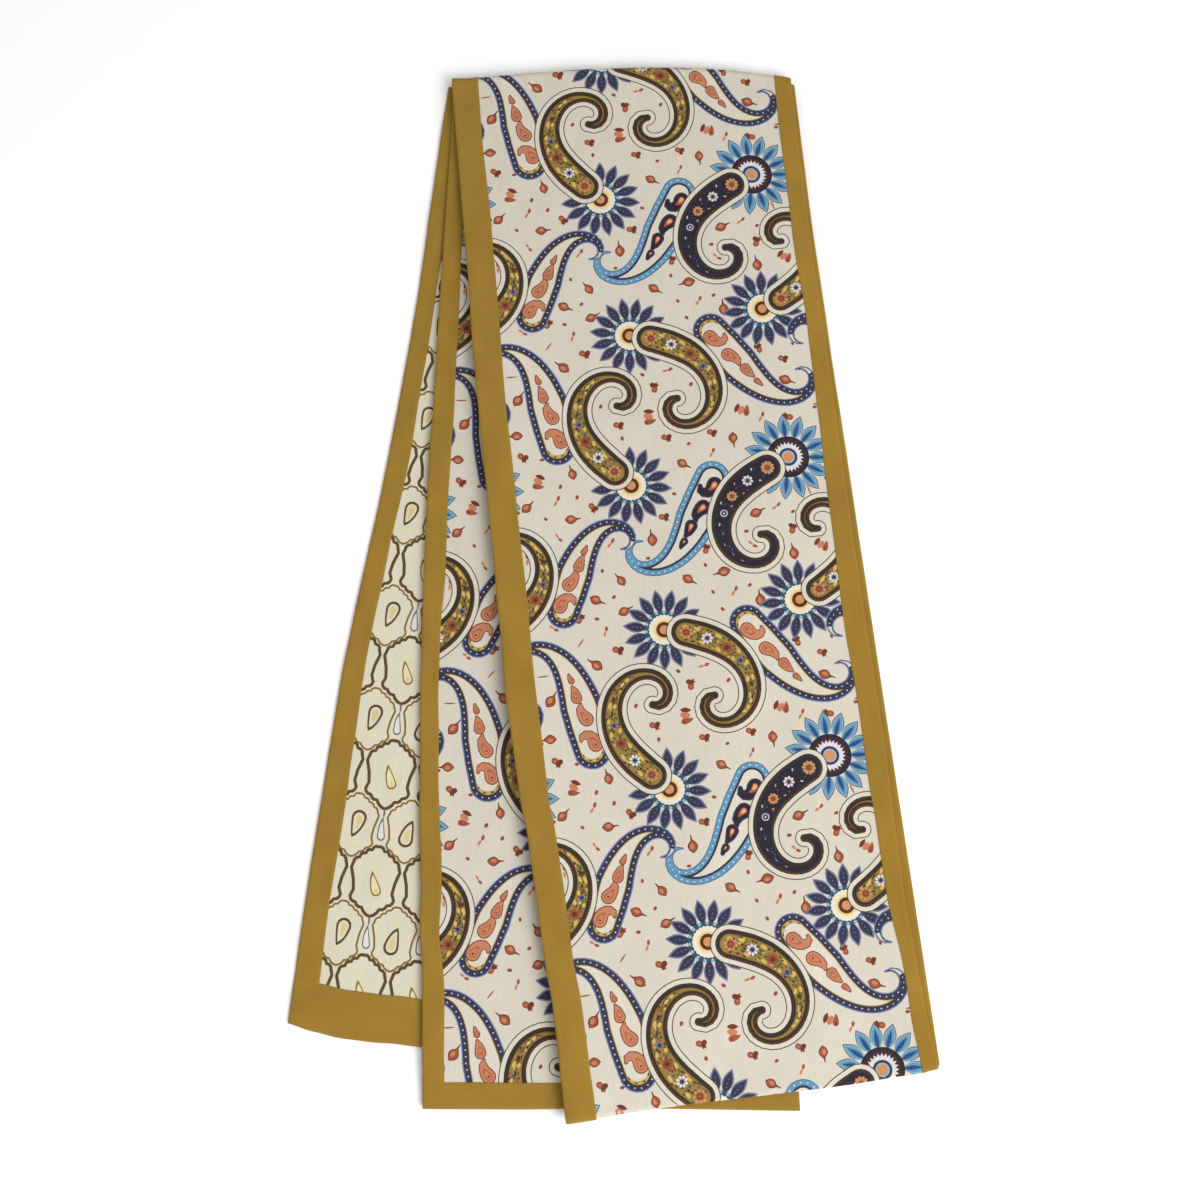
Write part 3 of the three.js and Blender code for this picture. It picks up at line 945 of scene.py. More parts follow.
def trellis_chart():
    """Two columns of the reverse print: each has a dark and an olive medallion, and a bud below the dark."""
    chart = Chart()
    for column in (0, 1):
        top = np.array((column * TRELLIS_PITCH, 0.0))
        medallion(chart, top, DARK_RIM, 0.68, "bark", "ivory")
        head, tip = top + (1.3, 17.6), top + (-1.0, 9.8)
        chart.add(drop(head, -104, 3.5, 11.0, 14, 7), "straw_faint")
        chart.add(drop(head, -104, 3.1, 10.2, 14, 7), "ivory")
        curl(chart, tip + (-0.2, -0.8), np.array((1.0, -1.0)))
        ringed_drop(chart, head, tip, 2.1, 0.55, "olive_line", "straw_pale")
        chart.add(oval(head, 0.7, 1.2, 0, 8), "straw")
        stem = top + (0.2, 27.6)
        chart.add(lens(stem, stem + (0.0, 4.4), 0.4, 0.3, 4), "violet_line")
        ringed_drop(chart, stem + (0.0, 11.4), stem + (0.0, 3.6), 1.65, 0.5, "violet_line", "pinkish")
        half_cell = top + (-TRELLIS_PITCH / 2, 0.5 * TRELLIS_DROP + 1.4)
        medallion(chart, half_cell, OLIVE_RIM, 0.43, "olive_line", "ivory")
        centre = half_cell + (0.3, 12.8)
        way = 1 if column == 0 else -1
        head, tip = centre + np.array((0.9, -3.2)) * way, centre + np.array((-1.4, 4.9)) * way
        ringed_drop(chart, head, tip, 3.1, 0.95, "bark", "ivory")
        chart.add(drop(head + (0.1, 0.3 * way), 8 + 90 * way, 1.25, 4.6, 12, 6), "straw")
        curl(chart, tip + np.array((0.4, 0.5)) * way, np.array((1.0, 1.0)) * way)
    return chart


# ================================================================ laying a print on a stretch
def strip_place(stretch, u, down):
    """The strip place of a print place. The bow of the top folds moves the cloth without stretching it."""
    s = down
    for _ in range(6):
        x, y = stretch.at(u, np.clip(s, stretch.start(u), stretch.end(u)))
        s = down + bow(x, y)
    return nominal(stretch, u, s)


def nominal(stretch, u, s):
    """The same place with u measured as if the edges were straight."""
    straight = u
    for _ in range(3):
        straight = u - stretch.wander(straight, s)
    return straight, s


CORNER_PULL = 2.2                  # how far the print is drawn in at the upper right corner
MIDDLE_PRINT_DROP = 14.0           # the print of the middle stretch lies this much lower than the front's
MIDDLE_PRINT_LEFT = 3.0            # and this much further left
REVERSE_START = (26.0, 385.0)      # where the reverse print starts: across and down the back stretch
REVERSE_LEAN = 0.014               # how far its rows step across for each mm down: it was cut off the grain


def front_place(u, v):
    pull = CORNER_PULL * smoothstep(u, 85, 130) * (1 - smoothstep(v, 10, 80))
    return u - pull, v


def middle_place(u, v):
    return u - MIDDLE_PRINT_LEFT, v + MIDDLE_PRINT_DROP


def under_place(u, v):
    return u, front.length + ROUND_INNER + under.length - v


def back_place(u, v):
    return u, -ROUND_OUTER - v


def reverse_place(u, v):
    across, down = REVERSE_START
    return u + across + REVERSE_LEAN * v, v + down


def printed(chart, across, down, wide, high, stretch, outline, print_place):
    """Copies of a chart's shapes, stepped across and down, as strip places where they touch the outline.

    wide and high are the steps to take, and print_place says where each point of the print lies.
    """
    low, top = outline.min(axis=0), outline.max(axis=0)
    shapes = []
    for points, paint in chart.shapes:
        for i in wide:
            for j in high:
                moved = points + np.asarray(across) * i + np.asarray(down) * j
                shapes.append((moved, paint))
    counts = [len(points) for points, _ in shapes]
    joined = np.vstack([points for points, _ in shapes])
    u, s = strip_place(stretch, *print_place(joined[:, 0], joined[:, 1]))
    laid = np.split(np.stack([u, s], axis=1), np.cumsum(counts)[:-1])
    kept = []
    for places, (_, paint) in zip(laid, shapes):
        if np.all(places.max(axis=0) > low) and np.all(places.min(axis=0) < top):
            kept.append((places, paint))
    return kept


def paisley(stretch, outline, print_place, high, chart):
    return printed(chart, ACROSS_REPEAT, (0.0, REPEAT), (-1, 0, 1), high, stretch, outline, print_place)


SMALL_MARK = 2.4                   # marks under this size aren't printed where a layer hides them


def plainer_under(shapes, edge):
    """The shapes less the smallest marks right of the edge, where a layer above hides the cloth."""
    kept = []
    for places, paint in shapes:
        if places[:, 0].min() < edge or np.ptp(places, axis=0).max() > SMALL_MARK:
            kept.append((places, paint))
    return kept


def trellis(stretch, outline):
    across, down = (2 * TRELLIS_PITCH, 0.0), (0.0, TRELLIS_DROP)
    wide, high = range(-2, 6), range(-10, 3)
    return printed(REVERSE_PRINT, across, down, wide, high, stretch, outline, reverse_place)


# ================================================================ cutting the cloth
def cloth_outline(stretch):
    """Corners of the cloth under its bindings: top left, bottom left, bottom right, top right."""
    corners = []
    for u, ends in ((TUCK, (0, 1)), (WIDTH - TUCK, (1, 0))):
        for end in ends:
            top = stretch.start(u) - fold_length(stretch.top_fold)
            bottom = stretch.end(u) + fold_length(stretch.end_fold)
            if stretch.top_fold is None:
                top = top + 0.05
            if stretch.end_fold is None:
                bottom = bottom - (TUCK if stretch is not under else 0.05)
            corners.append((u, bottom if end else top))
    return np.array(corners)


def rows_down(stretch, outline, spacing):
    """Shares of the way down the cloth at which it has facets, close together round the folds."""
    top, bottom = outline[:, 1].min(), outline[:, 1].max()
    long = bottom - top
    plain = np.linspace(0, 1, max(int(long / spacing), 2) + 1)
    rows = [plain]
    if stretch.top_fold:
        turn_length = fold_length(stretch.top_fold)
        rows.append(np.linspace(0, (turn_length + 1.0) / long, int(turn_length / 0.42)))
    if stretch.end_fold:
        turn_length = fold_length(stretch.end_fold)
        rows.append(1 - np.linspace(0, (turn_length + 1.0) / long, int(turn_length / 0.3)))
    return np.unique(np.concatenate(rows).round(6))


def grid_points(stretch, outline, spacing):
    """Points inside the cloth, and the points of its outline in order round it."""
    shares = rows_down(stretch, outline, spacing)
    columns = np.linspace(0, 1, int(WIDTH / spacing) + 1)
    c, r = np.meshgrid(columns, shares)
    (top_left, bottom_left, bottom_right, top_right) = outline
    left = top_left + r[..., None] * (bottom_left - top_left)
    right = top_right + r[..., None] * (bottom_right - top_right)
    points = left + c[..., None] * (right - left)
    inside = points[1:-1, 1:-1].reshape(-1, 2)
    rim = np.vstack([points[:-1, 0], points[-1, :-1], points[:0:-1, -1], points[0, :0:-1]])
    return inside, rim


def cut(stretch, outline, shapes, spacing):
    """Triangles of one face of the cloth, cut along every shape; each has the topmost shape's paint."""
    inside, rim = grid_points(stretch, outline, spacing)
    points = [rim, inside]
    faces = [list(range(len(rim)))[::-1]]
    count = len(rim) + len(inside)
    paints = [None]
    for places, paint in shapes:
        order = np.arange(count, count + len(places))
        x, y = places.T
        if np.sum(x * np.roll(y, -1) - np.roll(x, -1) * y) < 0:
            order = order[::-1]
        faces.append([int(k) for k in order])
        points.append(places)
        paints.append(paint)
        count += len(places)
    joined = [Vector(p) for p in np.vstack(points).tolist()]
    verts, _, triangles, _, _, origins = delaunay_2d_cdt(joined, [], faces, 1, 1e-3)
    places = np.array([(v[0], v[1]) for v in verts])
    lows = np.array([(-np.inf, -np.inf)] + [shape.min(axis=0) for shape, _ in shapes]) - 0.01
    tops = np.array([(np.inf, np.inf)] + [shape.max(axis=0) for shape, _ in shapes]) + 0.01
    kept, face_paints = [], []
    for triangle, ids in zip(triangles, origins):
        if 0 not in ids:
            continue
        spot = places[list(triangle)].mean(axis=0)
        over = max(k for k in ids if (lows[k] < spot).all() and (spot < tops[k]).all())
        kept.append(triangle)
        face_paints.append(paints[over])
    used, triangles = np.unique(np.array(kept), return_inverse=True)
    return places[used], triangles.reshape(-1, 3), face_paints


def rim_order(places, triangles, outline):
    """Numbers of the points on the rim of a cut face, in order round it, with how far round each is."""
    edges = np.sort(np.vstack([triangles[:, [0, 1]], triangles[:, [1, 2]], triangles[:, [2, 0]]]), axis=1)
    pairs, uses = np.unique(edges, axis=0, return_counts=True)
    on_rim = np.unique(pairs[uses == 1])
    round_rim = []
    for k in on_rim:
        best = None
        for side in range(4):
            a, b = outline[side], outline[(side + 1) % 4]
            along = np.dot(places[k] - a, b - a) / np.dot(b - a, b - a)
            away = np.linalg.norm(a + np.clip(along, 0, 1) * (b - a) - places[k])
            if best is None or away < best[0] - 1e-6:
                best = (away, side + np.clip(along, 0, 1))
        round_rim.append((best[1] % 4, int(k)))
    round_rim.sort()
    return round_rim


def stitch_rims(first, second):
    """Triangles between two rims that run the same way round."""
    i = j = 0
    triangles = []
    while i < len(first) or j < len(second):
        a, b = first[i % len(first)][1], second[j % len(second)][1]
        far_first = first[i + 1][0] if i + 1 < len(first) else (4.0 if i < len(first) else 9.0)
        far_second = second[j + 1][0] if j + 1 < len(second) else (4.0 if j < len(second) else 9.0)
        if far_first <= far_second:
            triangles.append((a, b, first[(i + 1) % len(first)][1]))
            i += 1
        else:
            triangles.append((a, b, second[(j + 1) % len(second)][1]))
            j += 1
    return np.array(triangles)


def new_object(name, points, triangles, material):
    """A mesh object from arrays, smooth shaded."""
    mesh = bpy.data.meshes.new(name)
    mesh.vertices.add(len(points))
    mesh.vertices.foreach_set("co", np.asarray(points, np.float32).ravel())
    mesh.loops.add(3 * len(triangles))
    mesh.loops.foreach_set("vertex_index", np.asarray(triangles, np.int32).ravel())
    mesh.polygons.add(len(triangles))
    mesh.polygons.foreach_set("loop_start", np.arange(0, 3 * len(triangles), 3, dtype=np.int32))
    mesh.polygons.foreach_set("use_smooth", np.ones(len(triangles), bool))
    mesh.update(calc_edges=True)
    mesh.materials.append(material)
    piece = bpy.data.objects.new(name, mesh)
    bpy.context.collection.objects.link(piece)
    return piece


def add_uv(mesh, name, places):
    layer = mesh.uv_layers.new(name=name)
    layer.data.foreach_set("uv", np.asarray(places, np.float32).ravel())


def cloth(name, stretch, upper, lower):
    """One stretch of the two cloths back to back. upper and lower are (ground, shapes, spacing)."""
    outline = cloth_outline(stretch)
    (places_a, faces_a, paints_a) = cut(stretch, outline, upper[1], upper[2])
    (places_b, faces_b, paints_b) = cut(stretch, outline, lower[1], lower[2])
    count = len(places_a)
    rim_a = rim_order(places_a, faces_a, outline)
    rim_b = [(where, k + count) for where, k in rim_order(places_b, faces_b, outline)]
    walls = stitch_rims(rim_a, rim_b)

    places = np.vstack([places_a, places_b])
    offset = np.concatenate([np.full(count, SHELL), np.full(len(places_b), -SHELL)])
    points = to_metres(place(stretch, places[:, 0], places[:, 1], offset))
    faces_b = faces_b + count
    for faces, way in ((faces_a, 1), (faces_b, -1)):
        flat = places[faces]
        first, second = flat[:, 1] - flat[:, 0], flat[:, 2] - flat[:, 0]
        wrong = (first[:, 0] * second[:, 1] - first[:, 1] * second[:, 0]) * way > 0
        faces[wrong] = faces[wrong][:, ::-1]
    triangles = np.vstack([faces_a, faces_b, walls])
    piece = new_object(name, points, triangles, CLOTH_MATERIAL)
    mesh = piece.data

    grounds = [PAINT[p or upper[0]] for p in paints_a] + [PAINT[p or lower[0]] for p in paints_b]
    grounds += [PAINT[upper[0]]] * len(walls)
    colours = np.ones((len(triangles), 3, 4), np.float32)
    colours[:, :, :3] = np.array(grounds, np.float32)[:, None, :] / 255 * PRINT_DEPTH
    layer = mesh.color_attributes.new("print", "BYTE_COLOR", "CORNER")
    layer.data.foreach_set("color_srgb", colours.ravel())

    normals_a = surface_normals(stretch, *places_a.T, SHELL, 1)
    normals_b = surface_normals(stretch, *places_b.T, -SHELL, -1)
    by_point = np.vstack([normals_a, normals_b])
    flat = points[walls]
    wall_normals = np.cross(flat[:, 1] - flat[:, 0], flat[:, 2] - flat[:, 0])
    lengths = np.linalg.norm(wall_normals, axis=1, keepdims=True)
    wall_normals = wall_normals / np.maximum(lengths, 1e-12)
    loops = np.vstack([by_point[faces_a].reshape(-1, 3), by_point[faces_b].reshape(-1, 3),
                       np.repeat(wall_normals, 3, axis=0)])
    corner_places = places[triangles].reshape(-1, 2)
    add_uv(mesh, "strip", corner_places / 1000)
    add_uv(mesh, "OFBake", bake_places(corner_places, len(faces_a) * 3, len(faces_b) * 3, outline))
    mesh.uv_layers.active = mesh.uv_layers["strip"]
    mesh.normals_split_custom_set(loops.tolist())
    return piece


def bake_places(corners, face_count, reverse_count, outline):
    """Face and reverse side by side in the unit square, a map that textures can be baked into."""
    low, high = outline.min(axis=0), outline.max(axis=0)
    square = (corners - low) / (high - low)
    square = 0.004 + 0.992 * square
    square[:, 0] *= 0.494
    square[face_count:face_count + reverse_count, 0] += 0.504
    square[face_count + reverse_count:, 0] = 0.499
    return square


# ================================================================ the bindings
def tape_profile(over, beneath):
    """Section of the binding at a folded edge: (distance from the edge, height above the middle)."""
    top, rise = WALL / 2, 0.07
    outside = [
        (over, 0.36), (over - 0.05, top - 0.06), (over - 0.35, top + 0.02), (over - 0.9, top + rise),
        (over - 1.6, top + rise), (over - 2.3, top), (0.62 * over, top), (0.40 * over, top),
        (1.6, top), (0.85, top - 0.03), (0.38, top - 0.14), (0.1, top - 0.33), (0.0, 0.0),
        (0.1, 0.33 - top), (0.38, 0.14 - top), (0.85, 0.03 - top), (1.6, -top), (0.5 * beneath, -top),
        (beneath - 1.5, -top), (beneath - 0.3, 0.05 - top), (beneath, -0.36),
    ]
    inside = [
        (beneath - 0.1, -0.33), (0.5 * beneath, -0.33), (1.3, -0.33), (1.0, -0.2), (1.0, 0.2), (1.3, 0.33),
        (0.5 * over, 0.33), (over - 0.1, 0.33),
    ]
    return np.array(outside + inside)


def tape_mesh(name, rings, uvs, section):
    """A closed tape through rings of points, each ring round the same section."""
    count, around = rings.shape[:2]
    index = np.arange(count * around).reshape(count, around)
    a, b = index[:-1], index[1:]
    a_next, b_next = np.roll(a, -1, axis=1), np.roll(b, -1, axis=1)
    first = np.stack([a, b, b_next], axis=-1).reshape(-1, 3)
    second = np.stack([a, b_next, a_next], axis=-1).reshape(-1, 3)
    cap = np.array(tessellate_polygon([[Vector((x, z, 0)) for x, z in section]]))
    triangles = np.vstack([first, second, index[0][cap], index[-1][cap]])
    piece = new_object(name, rings.reshape(-1, 3), triangles, BINDING_MATERIAL)
    add_uv(piece.data, "strip", uvs.reshape(-1, 2)[triangles].reshape(-1, 2) / 1000)
    outward(piece.data)
    return piece


def outward(mesh):
    """Turns every face outward, and keeps the ends of a tape from being shaded round."""
    solid = bmesh.new()
    solid.from_mesh(mesh)
    bmesh.ops.recalc_face_normals(solid, faces=solid.faces)
    solid.to_mesh(mesh)
    solid.free()
    mesh.set_sharp_from_angle(angle=math.radians(50))


HEM_TUCK = 0.7                     # a long binding runs this far under the hem's


def tape_rows(stretch, hem):
    """Where a long binding has its sections: (place on the stretch, amount past a fold)."""
    rows = []
    if stretch.top_fold:
        rows += [("top", past) for past in np.linspace(fold_length(stretch.top_fold), 0, 15)[:-1]]
    long = stretch.length - hem
    for share in np.linspace(0, 1, int(long / 4.0) + 1):
        rows.append(("flat", share))
    if stretch.end_fold:
        rows += [("end", past) for past in np.linspace(0, fold_length(stretch.end_fold), 12)[1:]]
    return rows


def long_tape(name, stretch, edge, over, beneath, hem=0.0):
    """The binding along a long edge. edge is 0 for the left one and 1 for the right."""
    seed = 1.3 * LAYERS.index(stretch) + 2.1 * edge
    rings, uvs = [], []
    for kind, amount in tape_rows(stretch, hem):
        rough = amount * stretch.length if kind == "flat" else (0.0 if kind == "top" else stretch.length)
        wander = 0.22 * math.sin(rough / 23 + seed) + 0.16 * math.sin(rough / 9.1 + 2 * seed)
        section = tape_profile(width_at(over, rough) + wander, width_at(beneath, rough) - wander)
        u = section[:, 0] if edge == 0 else WIDTH - section[:, 0]
        start = stretch.start(u) + (0.05 if stretch.top_fold is None else 0.0)
        end = stretch.end(u) - (hem - HEM_TUCK if hem else 0.0)
        if stretch is under:
            end = end - 0.05
        s = {"top": start - amount, "flat": start + amount * (end - start), "end": end + amount}[kind]
        rings.append(to_metres(place(stretch, u, s, section[:, 1])))
        uvs.append(np.stack([u, s], axis=1))
    first_section = tape_profile(width_at(over, 0), width_at(beneath, 0))
    return tape_mesh(name, np.array(rings), np.array(uvs), first_section)


def width_at(width, s):
    """A binding's width at a place down its stretch; it is one number, or rows of (place, width)."""
    return float(eased(s, width)) if isinstance(width, tuple) else width


def end_tape(name, stretch, width):
    """The binding across a hem, folded round it and closed at both edges."""
    section = tape_profile(width, width)
    rings, uvs = [], []
    edges = np.array([0.0, 0.05, 0.2, 0.5, 1.0])
    for across in np.concatenate([edges, np.linspace(4, WIDTH - 4, 48), (WIDTH - edges)[::-1]]):
        near = min(across, WIDTH - across, 1.0)
        swell = 1.06 * math.sqrt(max(1 - (1 - near) ** 2, 0.02))
        wander = 0.25 * math.sin(across / 17) * (section[:, 0] > 2)
        distance = section[:, 0] + wander
        s = stretch.end(across) - distance
        rings.append(to_metres(place(stretch, np.full(len(s), across), s, section[:, 1] * swell)))
        uvs.append(np.stack([s, np.full(len(s), across)], axis=1))
    return tape_mesh(name, np.array(rings), np.array(uvs), section)


# ================================================================ materials
PRINT_DEPTH = 0.91                 # the whole print is this share of its chart colours
MUSTARD = (151, 118, 43)
MUSTARD_DEEP = (140, 108, 39)


def linear(colour):
    """Linear values of an 8-bit screen colour."""
    c = np.array(colour) / 255
    return tuple(float(x) for x in np.where(c < 0.04045, c / 12.92, ((c + 0.055) / 1.055) ** 2.4))


def node_material(name):
    material = bpy.data.materials.new(name)
    material.use_nodes = True
    tree = material.node_tree
    return material, tree.nodes, tree.links, tree.nodes["Principled BSDF"]


def add_node(nodes, kind, **values):
    """A node with its own properties, and with sockets set by name."""
    node = nodes.new(kind)
    for key, value in values.items():
        if hasattr(node, key):
            setattr(node, key, value)
        else:
            node.inputs[key.replace("_", " ")].default_value = value
    return node


def stretched_noise(nodes, links, uv, scale, detail=2.0):
    """Noise in strip metres, drawn out along the threads by unlike scales across and along."""
    mapping = add_node(nodes, "ShaderNodeMapping", Scale=(scale[0], scale[1], 1.0))
    links.new(uv, mapping.inputs["Vector"])
    noise = add_node(nodes, "ShaderNodeTexNoise", Scale=1.0, Detail=detail, Roughness=0.55)
    links.new(mapping.outputs[0], noise.inputs["Vector"])
    return noise.outputs["Fac"]


def ramp(nodes, links, value, low, high):
    """The value spread from low to high."""
    node = add_node(nodes, "ShaderNodeMapRange", From_Min=0.3, From_Max=0.7, To_Min=low, To_Max=high)
    links.new(value, node.inputs["Value"])
    return node.outputs["Result"]


def combined(nodes, links, operation, first, second):
    node = add_node(nodes, "ShaderNodeMath", operation=operation)
    links.new(first, node.inputs[0])
    links.new(second, node.inputs[1])
    return node.outputs[0]


def times(nodes, links, first, second):
    return combined(nodes, links, "MULTIPLY", first, second)


def plus(nodes, links, first, second):
    return combined(nodes, links, "ADD", first, second)


def shaded(nodes, links, colour, value):
    """The colour made lighter or darker by a value about 1."""
    node = add_node(nodes, "ShaderNodeVectorMath", operation="SCALE")
    links.new(colour, node.inputs[0])
    links.new(value, node.inputs["Scale"])
    return node.outputs[0]


def threads(nodes, links, uv, density, angle):
    """Parallel soft ridges: 3.1 mm apart at a density of 100, and closer together above that."""
    mapping = add_node(nodes, "ShaderNodeMapping", Rotation=(0.0, 0.0, math.radians(angle)))
    links.new(uv, mapping.inputs["Vector"])
    wave = add_node(nodes, "ShaderNodeTexWave", Scale=density, Distortion=0.6, Detail=1.0)
    wave.inputs["Detail Scale"].default_value = 2.0
    links.new(mapping.outputs[0], wave.inputs["Vector"])
    return wave.outputs["Fac"]


def bumped(nodes, links, shader, height, distance):
    bump = add_node(nodes, "ShaderNodeBump", Strength=0.6, Distance=distance)
    links.new(height, bump.inputs["Height"])
    links.new(bump.outputs[0], shader.inputs["Normal"])


def make_cloth_material():
    material, nodes, links, shader = node_material("printed_twill")
    uv = add_node(nodes, "ShaderNodeUVMap", uv_map="strip").outputs[0]
    colour = add_node(nodes, "ShaderNodeAttribute", attribute_name="print").outputs["Color"]
    streaks = stretched_noise(nodes, links, uv, (900.0, 60.0))
    clouds = stretched_noise(nodes, links, uv, (70.0, 45.0))
    fibres = stretched_noise(nodes, links, uv, (2600.0, 2600.0), 4.0)
    shade = ramp(nodes, links, streaks, 0.972, 1.02)
    shade = times(nodes, links, shade, ramp(nodes, links, clouds, 0.975, 1.015))
    shade = times(nodes, links, shade, ramp(nodes, links, fibres, 0.97, 1.03))
    links.new(shaded(nodes, links, colour, shade), shader.inputs["Base Color"])
    links.new(ramp(nodes, links, fibres, 0.68, 0.86), shader.inputs["Roughness"])
    twill, rib = threads(nodes, links, uv, 100.0, 45.0), threads(nodes, links, uv, 156.25, 0.0)
    height = plus(nodes, links, plus(nodes, links, twill, rib), fibres)
    bumped(nodes, links, shader, height, 0.00003)
    shader.inputs["Sheen Weight"].default_value = 0.12
    shader.inputs["Sheen Roughness"].default_value = 0.45
    shader.inputs["Specular IOR Level"].default_value = 0.25
    return material


def make_binding_material():
    material, nodes, links, shader = node_material("mustard_rib")
    uv = add_node(nodes, "ShaderNodeUVMap", uv_map="strip").outputs[0]
    streaks = stretched_noise(nodes, links, uv, (1900.0, 420.0))
    clouds = stretched_noise(nodes, links, uv, (60.0, 34.0))
    fibres = stretched_noise(nodes, links, uv, (2600.0, 2600.0), 4.0)
    hue = add_node(nodes, "ShaderNodeMix", data_type="RGBA")
    links.new(ramp(nodes, links, clouds, 0.0, 1.0), hue.inputs[0])
    hue.inputs[6].default_value = (*linear(MUSTARD_DEEP), 1.0)
    hue.inputs[7].default_value = (*linear(MUSTARD), 1.0)
    shade = ramp(nodes, links, streaks, 0.97, 1.03)
    shade = times(nodes, links, shade, ramp(nodes, links, fibres, 0.94, 1.05))
    links.new(shaded(nodes, links, hue.outputs[2], shade), shader.inputs["Base Color"])
    links.new(ramp(nodes, links, fibres, 0.72, 0.9), shader.inputs["Roughness"])
    rib, weft = threads(nodes, links, uv, 119.0476, 0.0), threads(nodes, links, uv, 83.3333, 90.0)
    height = plus(nodes, links, plus(nodes, links, rib, weft), fibres)
    bumped(nodes, links, shader, height, 0.00004)
    shader.inputs["Sheen Weight"].default_value = 0.06
    shader.inputs["Sheen Roughness"].default_value = 0.5
    shader.inputs["Specular IOR Level"].default_value = 0.15
    return material


CLOTH_MATERIAL = make_cloth_material()
BINDING_MATERIAL = make_binding_material()


# ================================================================ table, light and camera
CAMERA_TILT = math.radians(12)
CAMERA_DISTANCE = 0.875
CAMERA_LENS = 63.0


def set_table():
    mesh = bpy.data.meshes.new("table")
    half = 3.0
    corners = [(-half, -half, 0), (half, -half, 0), (half, half, 0), (-half, half, 0)]
    mesh.from_pydata(corners, [], [(0, 1, 2, 3)])
    table = bpy.data.objects.new("table", mesh)
    bpy.context.collection.objects.link(table)
    material, nodes, links, shader = node_material("pale_table")
    grain = add_node(nodes, "ShaderNodeTexNoise", Scale=220.0, Detail=3.0)
    links.new(ramp(nodes, links, grain.outputs["Fac"], 0.6, 0.66), shader.inputs["Roughness"])
    shader.inputs["Base Color"].default_value = (0.995, 0.995, 0.995, 1.0)
    shader.inputs["Specular IOR Level"].default_value = 0.1
    mesh.materials.append(material)


def add_softbox(name, place, target, size, power):
    light = bpy.data.lights.new(name, "AREA")
    light.shape = "SQUARE"
    light.size = size
    light.energy = power
    lamp = bpy.data.objects.new(name, light)
    lamp.location = place
    lamp.rotation_euler = (Vector(target) - Vector(place)).to_track_quat("-Z", "Y").to_euler()
    bpy.context.collection.objects.link(lamp)


def set_light():
    world = bpy.data.worlds.new("studio")
    bpy.context.scene.world = world
    world.use_nodes = True
    sky = world.node_tree.nodes["Background"]
    sky.inputs[0].default_value = (1.0, 1.0, 1.0, 1.0)
    sky.inputs[1].default_value = 0.67
    add_softbox("key", (0.8, -0.85, 1.05), (0, 0, 0), 1.0, 20.4)
    bpy.context.scene.view_settings.view_transform = "Standard"


def set_camera():
    lens = bpy.data.cameras.new("camera")
    lens.lens = CAMERA_LENS
    lens.sensor_width = 36.0
    camera = bpy.data.objects.new("camera", lens)
    x, y = -SCARF_CENTRE[0] / 1000, -SCARF_CENTRE[1] / 1000
    back_off, up = CAMERA_DISTANCE * math.sin(CAMERA_TILT), CAMERA_DISTANCE * math.cos(CAMERA_TILT)
    camera.location = (x, y - back_off, up)
    camera.rotation_euler = (CAMERA_TILT, 0, 0)
    bpy.context.collection.objects.link(camera)
    bpy.context.scene.camera = camera


# ================================================================ the scarf
FACE_PRINT = face_chart(np.random.default_rng(5))
HIDDEN_PRINT = face_chart(np.random.default_rng(5), fine=False)
REVERSE_PRINT = trellis_chart()
MIDDLE_IN_SIGHT = 62.0             # the front lies over the middle stretch from here rightward


# How wide the bindings in sight are: (place down the stretch, width).
FRONT_LEFT = (
    (0, 11.7), (100, 11.9), (200, 12.1), (245, 12.0), (265, 12.5), (290, 12.0), (330, 11.7), (400, 11.5),
    (430, 12.6),
)
FRONT_RIGHT = (
    (0, 7.6), (110, 7.4), (190, 8.0), (240, 9.1), (290, 8.7), (340, 7.6), (370, 6.8), (390, 6.2), (430, 6.8),
)
MIDDLE_LEFT = (
    (0, 8.0), (120, 8.7), (220, 9.1), (250, 7.9), (275, 7.2), (300, 7.6), (352, 8.8), (375, 8.2), (400, 9.0),
    (432, 8.8),
)
BACK_LEFT = (
    (0, 6.0), (90, 7.9), (130, 8.1), (200, 8.7), (222, 8.5), (250, 8.8), (290, 9.0), (345, 9.9), (418, 10.3),
)
MIDDLE_HEM = 10.0
BACK_HEM = 18.5


def put(piece, slot, *nodes):
    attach(piece, "root")
    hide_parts(*nodes)
    return piece


def put_long_tape(name, node, stretch, edge, over, beneath, hem=0.0):
    return put(long_tape(name, stretch, edge, over, beneath, hem), "binding", node)


def put_end_tape(name, node, stretch, width):
    return put(end_tape(name, stretch, width), "binding", node)


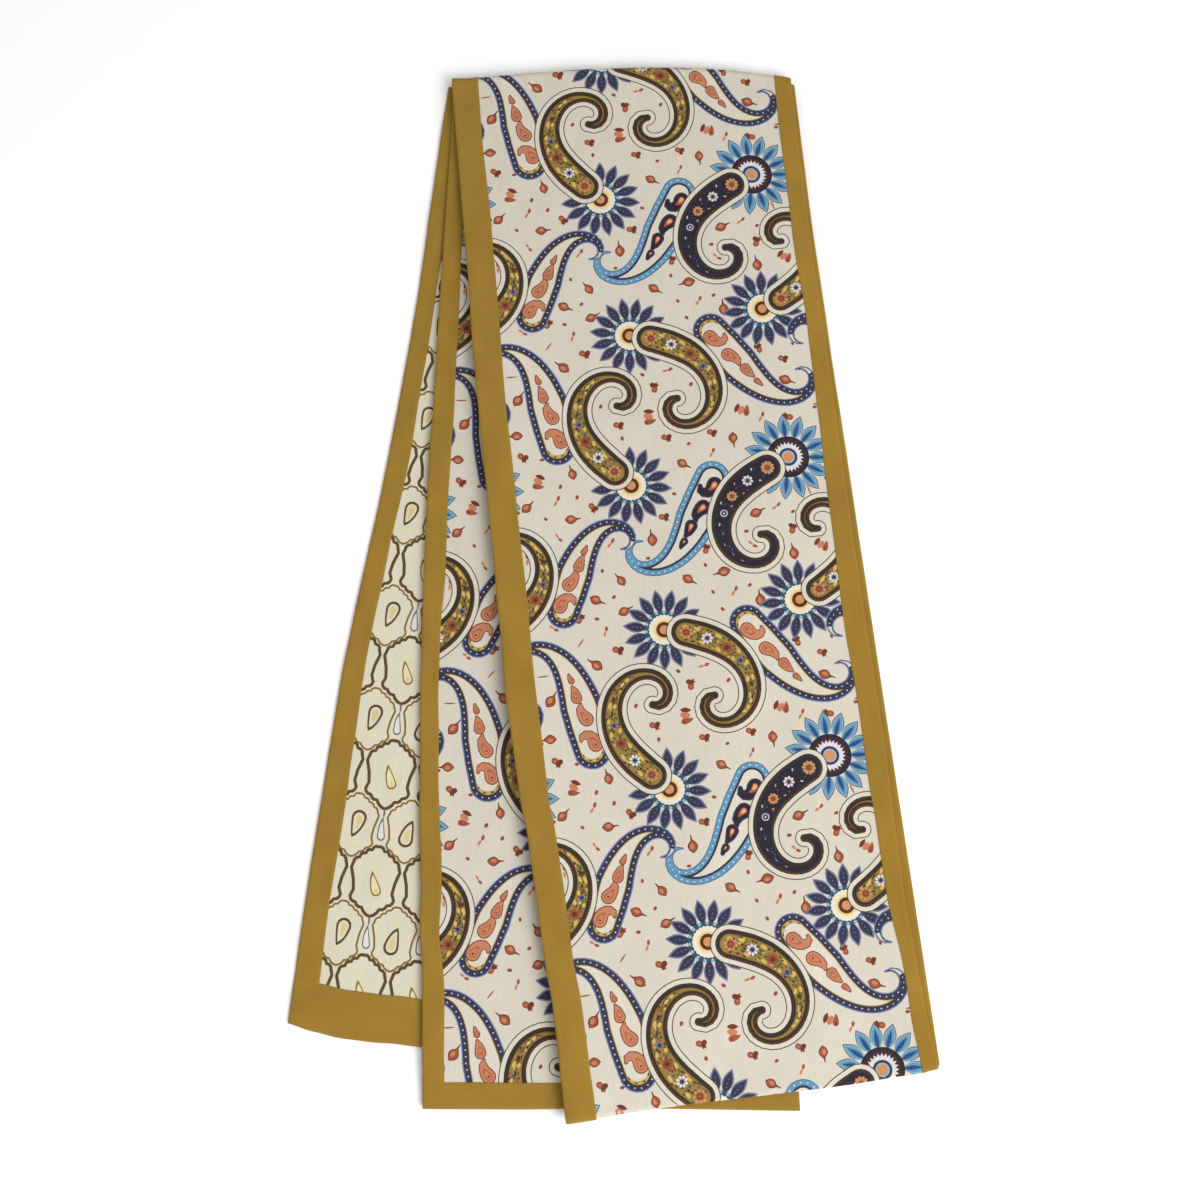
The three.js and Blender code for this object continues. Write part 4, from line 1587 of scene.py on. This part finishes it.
def make_front():
    outline = cloth_outline(front)
    above = ("cloth", paisley(front, outline, front_place, range(-2, 4), FACE_PRINT), GRID)
    panel = cloth("front_cloth", front, above, ("ivory", [], HIDDEN_GRID))
    put(panel, "printed_face", "front_panel")
    left = put_long_tape("front_left_tape", "front_left_binding", front, 0, FRONT_LEFT, 8.0)
    right = put_long_tape("front_right_tape", "front_right_binding", front, 1, FRONT_RIGHT, 8.0)


def make_turned_under():
    outline = cloth_outline(under)
    beneath = ("cloth", paisley(under, outline, under_place, range(2, 8), HIDDEN_PRINT), HIDDEN_GRID)
    panel = cloth("turned_under_cloth", under, ("ivory", [], HIDDEN_GRID), beneath)
    put(panel, "printed_reverse", "turned_under")
    left = put_long_tape("turned_under_left_tape", "turned_under", under, 0, 8.0, 9.0)
    right = put_long_tape("turned_under_right_tape", "turned_under_right_binding", under, 1, 8.0, 7.0)


def make_middle():
    outline = cloth_outline(middle)
    shapes = paisley(middle, outline, middle_place, range(-2, 4), FACE_PRINT)
    above = ("cloth", plainer_under(shapes, MIDDLE_IN_SIGHT), GRID)
    panel = cloth("middle_cloth", middle, above, ("ivory", trellis(middle, outline), HIDDEN_GRID))
    put(panel, "printed_face", "middle_panel")
    left = put_long_tape("middle_left_tape", "middle_left_binding", middle, 0, MIDDLE_LEFT, 8.0, MIDDLE_HEM)
    right = put_long_tape("middle_right_tape", "middle_right_binding", middle, 1, 8.0, 8.0, MIDDLE_HEM)
    end = put_end_tape("middle_end_tape", "middle_end_binding", middle, MIDDLE_HEM)


def make_back():
    outline = cloth_outline(back)
    beneath = ("cloth", paisley(back, outline, back_place, range(-6, 2), HIDDEN_PRINT), HIDDEN_GRID)
    panel = cloth("back_cloth", back, ("ivory", trellis(back, outline), GRID), beneath)
    put(panel, "printed_reverse", "back_panel")
    left = put_long_tape("back_left_tape", "back_left_binding", back, 0, BACK_LEFT, 11.5, BACK_HEM)
    right = put_long_tape("back_right_tape", "back_right_binding", back, 1, 8.0, 6.8, BACK_HEM)
    end = put_end_tape("back_end_tape", "back_end_binding", back, BACK_HEM)


make_front()
make_turned_under()
make_middle()
make_back()
set_table()
set_light()
set_camera()
